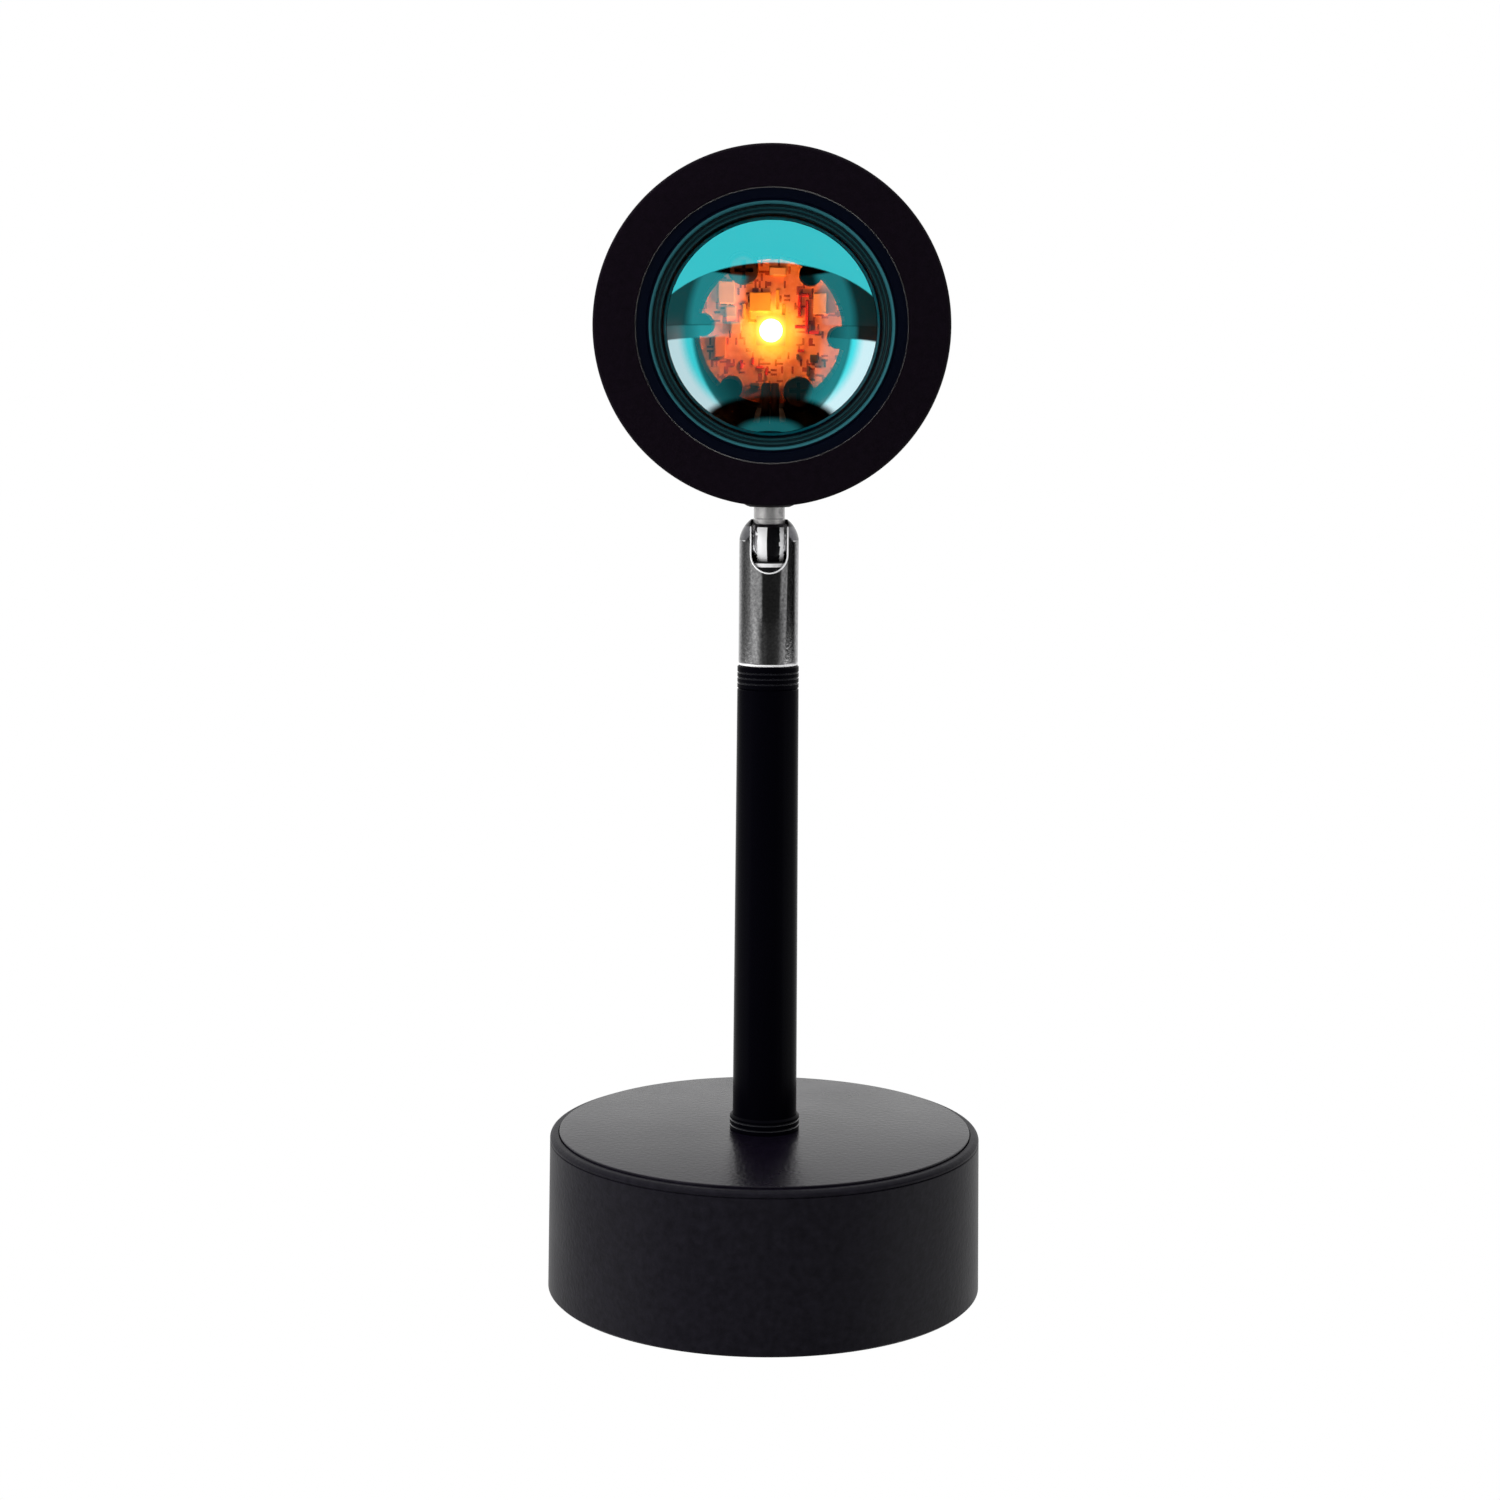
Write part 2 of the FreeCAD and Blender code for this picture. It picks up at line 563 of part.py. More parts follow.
shellTurned = turned("base_shell_turned", [
    ("shellInnerRadius", "footGap"),
    ("baseBottomRadius", "footGap"),
] + lines("baseShoulderRadius", ["shellTop - lineDrop"], "lineWidth", "lineDepth")[::-1] + [
    ("baseShoulderRadius", "shellTop - shoulderRound", "shoulderRound"),
    ("baseShoulderRadius - shoulderRound", "shellTop"),
    ("plateRadius + seamGap", "shellTop"),
    ("plateRadius + seamGap", "recessFloor"),
    ("nippleRadius + snapGap", "recessFloor"),
    ("nippleRadius + snapGap", "roofUnder"),
    ("shellInnerRadius", "roofUnder"),
])
posts = [cylinder("post_%d" % i, "postRadius", "roofUnder - coverTop + overlap", x, y, "coverTop")
         for i, (x, y) in enumerate(coverScrews)]
coverUnder = "footGap + coverLift"
shellHoles = [cylinder("pilot_%d" % i, "screwRadius + snapGap", "screwLength + past", x, y, coverUnder)
              for i, (x, y) in enumerate(coverScrews)]
shellHoles.append(cylinder("inlet_hole", "grommetRadius + snapGap", "2 * inletWall + 2 * past", "0",
                           "shellInnerRadius - past", "cordHeight", towardsRear))
shellHoles.append(cylinder("inlet_recess", "grommetFlangeRadius + seamGap", "shellWall + baseDraft + past",
                           "0", "shellInnerRadius + inletWall", "cordHeight", towardsRear))
parts.append(cut("base_shell", fused("base_shell_blank", [shellTurned] + posts), shellHoles))

parts.append(turned("top_plate", [
    ("nippleRadius + snapGap", "recessFloor"),
    ("plateRadius", "recessFloor"),
    ("plateRadius", "plateTop - plateChamfer"),
    ("plateRadius - plateChamfer", "plateTop"),
    ("nippleRadius + snapGap", "plateTop"),
]))

coverDisc = turned("bottom_cover_disc", [
    ("0", coverUnder),
    ("shellInnerRadius - slipGap", coverUnder),
    ("shellInnerRadius - slipGap", "coverTop"),
    ("0", "coverTop"),
])
boardX = "boardWidth / 2 - boardInset"
boardY = "boardDepth / 2 - boardInset"
boardScrews = [(sx + boardX + ")", sy + boardY + ")") for sx, sy in (("(", "("), ("-(", "-("))]
standoffs = [cylinder("standoff_%d" % i, "standoffRadius", "standoffHeight + overlap",
                      x, y, "coverTop - overlap")
             for i, (x, y) in enumerate(boardScrews)]
coverHoles = []
for i, (x, y) in enumerate(coverScrews):
    coverHoles.append(cylinder("cover_hole_%d" % i, "screwRadius + snapGap", "coverThickness + 2 * past",
                               x, y, coverUnder + " - past"))
    coverHoles.append(cone("cover_sink_%d" % i, "screwHeadRadius + snapGap", "screwRadius + snapGap",
                           "screwHeadDepth", x, y, coverUnder))
for i, (x, y) in enumerate(boardScrews):
    coverHoles.append(cylinder("standoff_hole_%d" % i, "screwRadius + snapGap", "standoffHeight + past",
                               x, y, "coverTop - overlap - slipGap"))
parts.append(cut("bottom_cover", fused("bottom_cover_blank", [coverDisc] + standoffs), coverHoles))

parts.append(grouped("cover_screws", [
    countersunk("cover_screw_%d" % i, "screwLength", x, y, coverUnder)
    for i, (x, y) in enumerate(coverScrews)]))

padRing = turned("anti_slip_pad_ring", [
    ("padInnerRadius", "0"),
    ("padOuterRadius", "0"),
    ("padOuterRadius", coverUnder),
    ("padInnerRadius", coverUnder),
])
parts.append(cut("anti_slip_pad", padRing, [
    cylinder("pad_hole_%d" % i, "padHoleRadius", coverUnder + " + 2 * past", x, y, "-past")
    for i, (x, y) in enumerate(coverScrews)]))

ballastRing = turned("ballast_ring", [
    ("ballastInnerRadius", "coverTop"),
    ("ballastOuterRadius", "coverTop"),
    ("ballastOuterRadius", "coverTop + ballastThickness"),
    ("ballastInnerRadius", "coverTop + ballastThickness"),
])
ballastHoles = [cylinder("ballast_hole_%d" % i, "postRadius + slipGap", "ballastThickness + 2 * past",
                         x, y, "coverTop - past")
                for i, (x, y) in enumerate(coverScrews)]
ballastHoles.append(block("ballast_gap", "ballastGap",
                          "ballastOuterRadius - ballastInnerRadius + 2 * past",
                          "ballastThickness + 2 * past",
                          "0", "(ballastOuterRadius + ballastInnerRadius) / 2", "coverTop - past"))
parts.append(cut("ballast_weight", ballastRing, ballastHoles))

grommetGrip = "inletWall + grommetBack"
parts.append(put(turned("cord_grommet", [
    ("cordRadius", "-grommetFlange"),
    ("grommetFlangeRadius", "-grommetFlange"),
    ("grommetFlangeRadius", "0"),
    ("grommetRadius", "0"),
    ("grommetRadius", grommetGrip),
    ("grommetFlangeRadius", grommetGrip),
    ("grommetFlangeRadius", grommetGrip + " + grommetFlange - grommetChamfer"),
    ("grommetFlangeRadius - 2 * grommetChamfer", grommetGrip + " + grommetFlange"),
    ("cordRadius", grommetGrip + " + grommetFlange"),
]), "0", "shellInnerRadius - grommetBack", "cordHeight", towardsRear))

boardPlate = block("driver_board_plate", "boardWidth", "boardDepth", "boardThickness",
                   "0", "0", "boardUnder")
parts.append(cut("driver_board", boardPlate, [
    cylinder("board_hole_%d" % i, "screwRadius + snapGap", "boardThickness + 2 * past",
             x, y, "boardUnder - past")
    for i, (x, y) in enumerate(boardScrews)]))

driverScrews = []
for i, (x, y) in enumerate(boardScrews):
    head = cylinder("driver_screw_head_%d" % i, "screwHeadRadius", "screwHeadDepth", x, y, "boardTop")
    shank = cylinder("driver_screw_shank_%d" % i, "screwRadius", "boardThickness + standoffHeight",
                     x, y, "boardTop - boardThickness - standoffHeight + overlap")
    drive = hexagon("driver_screw_drive_%d" % i, "driveRadius * 2", "driveDepth + past", x, y,
                    "boardTop + screwHeadDepth - driveDepth")
    blank = fused("driver_screw_blank_%d" % i, [head, shank])
    driverScrews.append(cut("driver_screw_%d" % i, blank, [drive]))
parts.append(grouped("driver_screws", driverScrews))

cans = [cylinder(name, name + "Radius", name + "Height", name + "Aside", name + "Behind", "boardTop")
        for name in driverCans]
blocks = [block(name, name + "Width", name + "Depth", name + "Height",
                name + "Aside", name + "Behind", "boardTop")
          for name in driverParts]
parts.append(grouped("driver_components", cans + blocks))
parts.append(block("driver_plug", "plugWidth", "plugDepth", "plugHeight", "0", "plugOffset", "boardTop"))

# ---------------------------------------------------------------- pole
parts.append(turned("threaded_nipple", [
    ("nippleBore", "roofUnder - nippleBelow"),
    ("nippleRadius - edgeChamfer", "roofUnder - nippleBelow"),
    ("nippleRadius", "roofUnder - nippleBelow + edgeChamfer"),
    ("nippleRadius", "plateTop + nippleAbove - edgeChamfer"),
    ("nippleRadius - edgeChamfer", "plateTop + nippleAbove"),
    ("nippleBore", "plateTop + nippleAbove"),
]))
parts.append(turned("base_washer", [
    ("nippleRadius + slipGap", "roofUnder - washerThickness"),
    ("washerRadius", "roofUnder - washerThickness"),
    ("washerRadius", "roofUnder"),
    ("nippleRadius + slipGap", "roofUnder"),
]))
nutUnder = "roofUnder - washerThickness - nutHeight"
parts.append(cut("base_nut", hexagon("base_nut_blank", "nutAcross", "nutHeight", "0", "0", nutUnder),
                 [cylinder("base_nut_bore", "nippleRadius + snapGap", "nutHeight + 2 * past",
                           z=nutUnder + " - past")]))

footCentres = ["footTop - footLineDrop - %d * footLinePitch" % i for i in range(int(size("footLines")))]
parts.append(turned("pole_foot", [
    ("nippleRadius + snapGap", "plateTop"),
    ("footRadius - fineDepth", "plateTop"),
    ("footRadius", "plateTop + fineDepth"),
] + lines("footRadius", footCentres, "fineLine", "fineDepth")[::-1] + [
    ("footRadius", "footTop - edgeChamfer"),
    ("footRadius - edgeChamfer", "footTop"),
    ("poleBore - snapGap", "footTop"),
    ("poleBore - snapGap", "footTop + footSpigot - edgeChamfer"),
    ("poleBore - snapGap - edgeChamfer", "footTop + footSpigot"),
    ("nippleRadius + snapGap", "footTop + footSpigot"),
]))
parts.append(turned("pole_tube", [
    ("poleBore", "footTop"),
    ("poleFootRadius", "footTop"),
    ("poleTopRadius", "tubeTop - fineDepth"),
    ("poleTopRadius - fineDepth", "tubeTop"),
    ("poleBore", "tubeTop"),
]))
capCentres = ["capTop - capLineDrop - %d * capLinePitch" % i for i in range(int(size("capLines")))]
parts.append(turned("pole_top_cap", [
    ("studRadius + snapGap", "tubeTop - capSpigot"),
    ("poleBore - snapGap - edgeChamfer", "tubeTop - capSpigot"),
    ("poleBore - snapGap", "tubeTop - capSpigot + edgeChamfer"),
    ("poleBore - snapGap", "tubeTop"),
    ("poleTopRadius - fineDepth", "tubeTop"),
    ("poleTopRadius", "tubeTop + fineDepth"),
] + lines("poleTopRadius", capCentres, "fineLine", "fineDepth")[::-1] + [
    ("poleTopRadius", "capTop - fineDepth"),
    ("poleTopRadius - fineDepth", "capTop"),
    ("studRadius + snapGap", "capTop"),
]))
parts.append(lead("pole_lead", [
    ("0", "plugOffset", "boardTop + plugHeight"),
    ("0", "plugOffset", "boardTop + plugHeight + leadRise"),
    ("0", "0", "boardTop + plugHeight + leadRise + leadClimb"),
    ("0", "0", "ballHeight - ballFlat - 2 * leadGap"),
], ["leadBendLow", "leadBendPole"], (1, 0, 0)))

# ---------------------------------------------------------------- swivel
parts.append(turned("swivel_stud", [
    ("studBore", "tubeTop - capSpigot + studRecess"),
    ("studRadius", "tubeTop - capSpigot + studRecess"),
    ("studRadius", "studHeadUnder"),
    ("studHeadRadius", "studHeadUnder"),
    ("studHeadRadius", "studTop"),
    ("studBore", "studTop"),
]))
parts.append(turned("friction_washer", [
    ("studRadius + runningGap", "shelfTop"),
    ("studHeadRadius", "shelfTop"),
    ("studHeadRadius", "shelfTop + frictionWasher"),
    ("studRadius + runningGap", "shelfTop + frictionWasher"),
]))
springs = []
for i in range(int(size("springCount"))):
    low = "springsBottom + %d * springPitch" % i
    rise = ("springCone", "0") if i % 2 == 0 else ("0", "springCone")
    springs.append(turned("disc_spring_%d" % i, [
        ("seatBore", low + " + " + rise[0]),
        ("studHeadRadius", low + " + " + rise[1]),
        ("studHeadRadius", low + " + " + rise[1] + " + springThickness"),
        ("seatBore", low + " + " + rise[0] + " + springThickness"),
    ]))
parts.append(grouped("disc_springs", springs))

seatBlank = turned("ball_seat_blank", [
    ("seatBore", "springsTop"),
    ("sleeveBore - ballGap", "springsTop"),
    ("sleeveBore - ballGap", "seatTop"),
    ("seatBore", "seatTop"),
])
parts.append(cut("ball_seat", seatBlank, [ball("seat_hollow", "ballRadius + ballGap", z="ballHeight")]))

sleeveOutside = fused("sleeve_outside", [
    turned("sleeve_barrel", [
        ("0", "sleeveBottom"),
        ("sleeveRadius - fineDepth", "sleeveBottom"),
        ("sleeveRadius", "sleeveBottom + fineDepth"),
        ("sleeveRadius", "ballHeight"),
        ("0", "ballHeight"),
    ]),
    ball("sleeve_dome", "sleeveRadius", z="ballHeight"),
])
slotEnd = "ballHeight - slotDrop"
sleeveInside = [
    cylinder("sleeve_bore", "sleeveBore", "ballHeight - shelfTop", z="shelfTop"),
    ball("sleeve_socket", "sleeveBore", z="ballHeight"),
    cylinder("sleeve_floor_hole", "studRadius + snapGap", "shelfThickness + 2 * past",
             z="sleeveBottom - past"),
    cylinder("sleeve_mouth", "mouthRadius", "sleeveRadius + past", z="ballHeight"),
    block("sleeve_slot", "slotWidth", "sleeveRadius + past", "sleeveRadius + slotDrop + past",
          "0", "-(sleeveRadius + past) / 2", slotEnd),
    cylinder("sleeve_slot_end", "slotWidth / 2", "sleeveRadius + past", "0", "0", slotEnd, towardsFront),
    cone("sleeve_slot_bevel", "slotWidth / 2 - bevelDepth", "slotWidth / 2 + slotBevel",
         "bevelDepth + slotBevel", "0", "-(sleeveRadius - bevelDepth - slotBevel - bevelShift)", slotEnd,
         towardsFront),
]
parts.append(cut("swivel_sleeve", sleeveOutside, sleeveInside))

# ---------------------------------------------------------------- neck
neckBlank = fused("ball_neck_blank", [
    ball("neck_ball", "ballRadius", z="ballHeight"),
    cylinder("neck_shaft", "neckRadius", "bossUnder - ballHeight", z="ballHeight"),
    cylinder("neck_thread", "threadRadius", "neckTop - bossUnder + overlap", z="bossUnder - overlap"),
])
parts.append(cut("ball_neck", neckBlank, [
    cylinder("neck_bore", "neckBore", "neckTop - ballHeight + ballRadius + 2 * past",
             z="ballHeight - ballRadius - past"),
    cylinder("ball_flat", "ballRadius", "ballRadius", z="ballHeight - ballFlat - ballRadius"),
    cone("neck_flare", "seatBore - slipGap", "neckBore", "neckFlare", z="ballHeight - ballFlat"),
]))
parts.append(turned("neck_washer", [
    ("threadRadius + slipGap", "innerSeat"),
    ("neckWasherRadius", "innerSeat"),
    ("neckWasherRadius", "neckNutUnder"),
    ("threadRadius + slipGap", "neckNutUnder"),
]))
parts.append(cut("neck_nut", hexagon("neck_nut_blank", "neckNutAcross", "neckNutHeight", z="neckNutUnder"),
                 [cylinder("neck_nut_bore", "threadRadius + snapGap", "neckNutHeight + 2 * past",
                           z="neckNutUnder - past")]))
parts.append(lead("neck_lead", [
    ("0", "0", "ballHeight - ballFlat + slipGap"),
    ("0", "0", "neckTop"),
], [], (1, 0, 0)))

# ---------------------------------------------------------------- head, turned about the lens axis
housingOutside = cone("housing_outside", "housingRearRadius", "housingFrontRadius",
                      "bezelRear - housingRear", "0", "-housingRear", "headHeight", towardsFront)
housingHollow = fused("housing_hollow", [
    ahead("housing_rear_bore", "housingRearBore", "housingRear - past",
          "bezelRear - housingRear + 2 * past"),
    ahead("housing_front_bore", "housingFrontBore", "sinkSeat", "bezelRear - sinkSeat + past"),
])
housingShell = cut("housing_shell", housingOutside, [housingHollow])
housingPad = cylinder("housing_pad", "neckWasherRadius + seatMargin", "seatPad", z="innerSeat - seatPad")
holeDepth = "rearWall + seatRise + seatPad + past"
housingHole = cylinder("housing_neck_hole", "threadRadius + snapGap", holeDepth + " + past",
                       z="innerSeat - (%s)" % holeDepth)
parts.append(cut("head_housing", fused("housing_blank", [housingShell, housingPad]), [housingHole]))

bossFill = cone("boss_saddle", "housingRearRadius", "housingFrontRadius", "bezelRear - housingRear",
                "0", "-housingRear", "headHeight", towardsFront)
bossBlank = cylinder("boss_blank", "bossRadius", "headHeight - housingRearRadius - bossUnder + 2 * past",
                     z="bossUnder")
parts.append(cut("neck_boss", bossBlank, [
    bossFill,
    cylinder("boss_bore", "threadRadius + snapGap", "headHeight - housingRearRadius - bossUnder + 4 * past",
             z="bossUnder - past"),
]))

parts.append(turned("front_bezel", [
    ("ringOuter + snapGap", "bezelFront"),
    ("ringOuter + snapGap", "ringStep"),
    ("lensRadius + slipGap", "ringStep"),
    ("lensRadius + slipGap", "ledgeFront"),
    ("ledgeInner", "ledgeFront"),
    ("ledgeInner", "ledgeRear"),
    ("bezelWallRadius", "ledgeRear"),
    ("bezelWallRadius", "bezelRear - bezelSpigot"),
    ("housingFrontBore - snapGap", "bezelRear - bezelSpigot"),
    ("housingFrontBore - snapGap", "bezelRear"),
    ("bezelRadius - bezelRound", "bezelRear", "bezelRound"),
    ("bezelRadius", "bezelRear + bezelRound"),
    ("bezelRadius", "bezelFront - bezelRound", "bezelRound"),
    ("bezelRadius - bezelRound", "bezelFront"),
], True))
parts.append(turned("lens", [
    ("0", "lensRear - rearRise", "rearCurve"),
    ("rearRadius", "lensRear"),
    ("lensRadius - lensChamfer", "lensRear"),
    ("lensRadius", "lensRear + lensChamfer"),
    ("lensRadius", "lensSeatFront"),
    ("domeRadius", "lensSeatFront", "domeCurve"),
    ("0", "lensSeatFront + domeRise"),
], True))
parts.append(turned("lens_gasket", [
    ("gasketInner", "ledgeFront"),
    ("lensRadius", "ledgeFront"),
    ("lensRadius", "lensRear"),
    ("gasketInner", "lensRear"),
], True))
parts.append(turned("lens_retaining_ring", [
    ("ringInner", "lensSeatFront"),
    ("lensRadius + slipGap", "lensSeatFront"),
    ("lensRadius + slipGap", "ringStep"),
    ("ringOuter", "ringStep"),
    ("ringOuter", "ringFront - fineDepth"),
    ("ringOuter - fineDepth", "ringFront"),
    ("ringLine + fineLine / 2", "ringFront"),
    ("ringLine", "ringFront - fineDepth"),
    ("ringLine - fineLine / 2", "ringFront"),
    ("ringInner + edgeChamfer", "ringFront"),
    ("ringInner", "ringFront - edgeChamfer"),
], True))
parts.append(turned("light_baffle", [
    ("baffleHole", "sinkFront"),
    ("baffleRadius + baffleWall", "sinkFront"),
    ("baffleRadius + baffleWall", "ledgeRear - baffleWall"),
    ("bezelWallRadius - slipGap", "ledgeRear - baffleWall"),
    ("bezelWallRadius - slipGap", "ledgeRear"),
    ("baffleRadius", "ledgeRear"),
    ("baffleRadius", "sinkFront + baffleWall"),
    ("baffleHole", "sinkFront + baffleWall"),
], True))

# heat sink: a disc with a core, radial fins and three posts
sink = turned("sink_body", [
    ("0", "finRear"),
    ("sinkCoreRadius", "finRear"),
    ("sinkCoreRadius", "sinkSeat"),
    ("housingFrontBore - slipGap", "sinkSeat"),
    ("housingFrontBore - slipGap", "sinkFront"),
    ("0", "sinkFront"),
], True)
finSketch = outline(sink, [
    ("sinkCoreRadius - overlap", "-finThickness / 2"),
    ("finOuter", "-finThickness / 2"),
    ("finOuter", "finThickness / 2"),
    ("sinkCoreRadius - overlap", "finThickness / 2"),
], "XY_Plane")
# the first fin stands half a pitch beside straight down, so the lead always comes up between two
finSketch.AttachmentOffset = FreeCAD.Placement(
    FreeCAD.Vector(0, 0, 0), FreeCAD.Rotation(FreeCAD.Vector(0, 0, 1), -90 + 180 / size("finCount")))
bind(finSketch, "AttachmentOffset.Base.z", "finRear")
fin = sink.newObject("PartDesign::Pad", "fin")
fin.Profile = finSketch
bind(fin, "Length", "sinkSeat - finRear + overlap")
fins = sink.newObject("PartDesign::PolarPattern", "fins")
fins.Originals = [fin]
fins.Axis = (finSketch, ["N_Axis"])
fins.Angle = 360
bind(fins, "Occurrences", "finCount")
sink.Tip = fins
finSketch.Visibility = False

rearScrews = spread(int(size("rearScrewCount")), "rearScrewCircle", 90)
sinkPosts = [ahead("sink_post_%d" % i, "sinkPostRadius", "coverInside",
                   "sinkSeat - coverInside + overlap", x, up)
             for i, (x, up) in enumerate(rearScrews)]
sinkHoles = [ahead("sink_pilot_%d" % i, "screwRadius + snapGap", "coverInside - past", "screwLength", x, up)
             for i, (x, up) in enumerate(rearScrews)]
notches = int(size("starNotches"))
notchPlaces = spread(notches, "notchCircle", size("notchTurn"))
boardScrewPlaces = [notchPlaces[2], notchPlaces[5]]
for i, (x, up) in enumerate(boardScrewPlaces):
    sinkHoles.append(ahead("board_pilot_%d" % i, "boardScrewRadius + snapGap",
                           "sinkFront - boardScrewLength", "boardScrewLength + past", x, up))
sinkHoles.append(ahead("lead_hole", "leadHole", "sinkSeat - past", "sinkDisc + 2 * past",
                       "0", "-leadOffset"))
parts.append(cut("heat_sink", fused("heat_sink_blank", [sink] + sinkPosts), sinkHoles))

padDisc = ahead("thermal_pad_disc", "starRadius - thermalInset", "sinkFront", "thermalPad")
parts.append(cut("thermal_pad", padDisc, [
    ahead("pad_notch_%d" % i, "notchRadius + notchGap", "sinkFront - past", "thermalPad + 2 * past", x, up)
    for i, (x, up) in enumerate(notchPlaces)]))
starDisc = ahead("led_board_disc", "starRadius", "starRear", "starThickness")
parts.append(cut("led_board", starDisc, [
    ahead("star_notch_%d" % i, "notchRadius", "starRear - past", "starThickness + 2 * past", x, up)
    for i, (x, up) in enumerate(notchPlaces)]))


def chip(name, width, tall, thick, x, up):
    """A flat part soldered to the front of the LED board."""
    thing = doc.addObject("Part::Box", name)
    bind(thing, "Length", width)
    bind(thing, "Width", thick)
    bind(thing, "Height", tall)
    return put(thing, "%s - (%s) / 2" % (x, width), "-starFront - (%s)" % thick,
               "headHeight + %s - (%s) / 2" % (up, tall))


ledBase = chip("led_package", "ledSide", "ledSide", "ledHeight", "0", "0")
ledLens = ball("led_lens", "ledDome", y="-starFront - ledHeight", z="headHeight")
ledKeep = ahead("led_keep", "ledSide", "starFront", "ledHeight + ledDome + past")
ledDomeHalf = doc.addObject("Part::Common", "led_dome_half")
ledDomeHalf.Base = ledLens
ledDomeHalf.Tool = ledKeep
parts.append(fused("led_emitter", [ledBase, ledDomeHalf]))
parts.append(grouped("board_chips", [
    chip(name, name + "Width", name + "Tall", name + "Thick", name + "Aside", name + "Above")
    for name in boardChips]))

boardScrewSet = []
for i, (x, up) in enumerate(boardScrewPlaces):
    head = ahead("board_screw_head_%d" % i, "boardScrewHead", "starFront", "boardScrewRise", x, up)
    shank = ahead("board_screw_shank_%d" % i, "boardScrewRadius", "starFront - boardScrewLength",
                  "boardScrewLength + overlap", x, up)
    drive = hexagon("board_screw_drive_%d" % i, "boardDriveAcross", "boardScrewRise", x,
                    "-starFront - boardDriveFloor", "headHeight + (%s)" % up, towardsFront)
    blank = fused("board_screw_blank_%d" % i, [head, shank])
    boardScrewSet.append(cut("board_screw_%d" % i, blank, [drive]))
parts.append(grouped("board_screws", boardScrewSet))

# rear cover with radial vents and three countersunk screws
coverTurned = turned("rear_cover_turned", [
    ("0", "coverOutside"),
    ("housingRearRadius - coverRound", "coverOutside", "coverRound"),
    ("housingRearRadius", "coverOutside + coverRound"),
    ("housingRearRadius", "coverFront"),
    ("housingRearBore - slipGap", "coverFront"),
    ("housingRearBore - slipGap", "coverFront + coverSpigot"),
    ("housingRearBore - slipGap - coverWall", "coverFront + coverSpigot"),
    ("housingRearBore - slipGap - coverWall", "coverInside"),
    ("0", "coverInside"),
], True)
vents = []
ventTotal = int(size("ventCount"))
for i in range(ventTotal):
    angle = 360 * (i + 0.5) / ventTotal
    spoke = doc.addObject("Part::Box", "vent_%d" % i)
    bind(spoke, "Length", "ventOuter - ventInner")
    bind(spoke, "Width", "coverWall + 4 * past")
    bind(spoke, "Height", "ventWidth")
    put(spoke, "ventInner * cos(%g deg) + ventWidth / 2 * sin(%g deg)" % (angle, angle),
        "-coverOutside - coverWall - 2 * past",
        "headHeight + ventInner * sin(%g deg) - ventWidth / 2 * cos(%g deg)" % (angle, angle),
        FreeCAD.Rotation(FreeCAD.Vector(0, 1, 0), -angle))
    vents.append(spoke)
rearHoles = []
for i, (x, up) in enumerate(rearScrews):
    rearHoles.append(ahead("rear_hole_%d" % i, "screwRadius + snapGap", "coverOutside - past",
                           "coverWall + 2 * past", x, up))
    rearHoles.append(cone("rear_sink_%d" % i, "screwHeadRadius + snapGap", "screwRadius + snapGap",
                          "screwHeadDepth", x, "-coverOutside", "headHeight + (%s)" % up, towardsFront))
parts.append(cut("rear_cover", coverTurned, vents + rearHoles))
parts.append(grouped("rear_cover_screws", [
    countersunk("rear_screw_%d" % i, "screwLength", x, "-coverOutside", "headHeight + (%s)" % up,
                towardsFront)
    for i, (x, up) in enumerate(rearScrews)]))

parts.append(lead("head_lead", [
    ("0", "0", "neckTop + leadGap"),
    ("0", "0", "headHeight - leadOffset"),
    ("0", "-starFront - wireRadius", "headHeight - leadOffset"),
    ("0", "-starFront - wireRadius", "headHeight - leadEnd"),
], ["leadBendHead", "leadBendBoard"], (1, 0, 0)))

# ---------------------------------------------------------------- recompute, check and write
doc.recompute()
faults = []
for thing in doc.Objects:
    if "Invalid" in thing.State or "Error" in thing.State:
        faults.append("%s: %s" % (thing.Name, thing.State))
for part in parts:
    if part.Shape.isNull() or not part.Shape.isValid():
        faults.append("%s: bad shape" % part.Label)
if faults:
    raise RuntimeError("; ".join(faults))

os.makedirs("parts", exist_ok=True)
for part in parts:
    part.Shape.exportStep("parts/%s.step" % part.Label)
    extent = part.Shape.BoundBox
    print("%-20s solids %2d  volume %9.1f  x %.1f..%.1f  y %.1f..%.1f  z %.1f..%.1f" % (
        part.Label, len(part.Shape.Solids), part.Shape.Volume, extent.XMin, extent.XMax,
        extent.YMin, extent.YMax, extent.ZMin, extent.ZMax))
print("%d parts" % len(parts))
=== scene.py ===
import json
import math
import bpy
import bmesh
from mathutils import Euler, Matrix, Vector


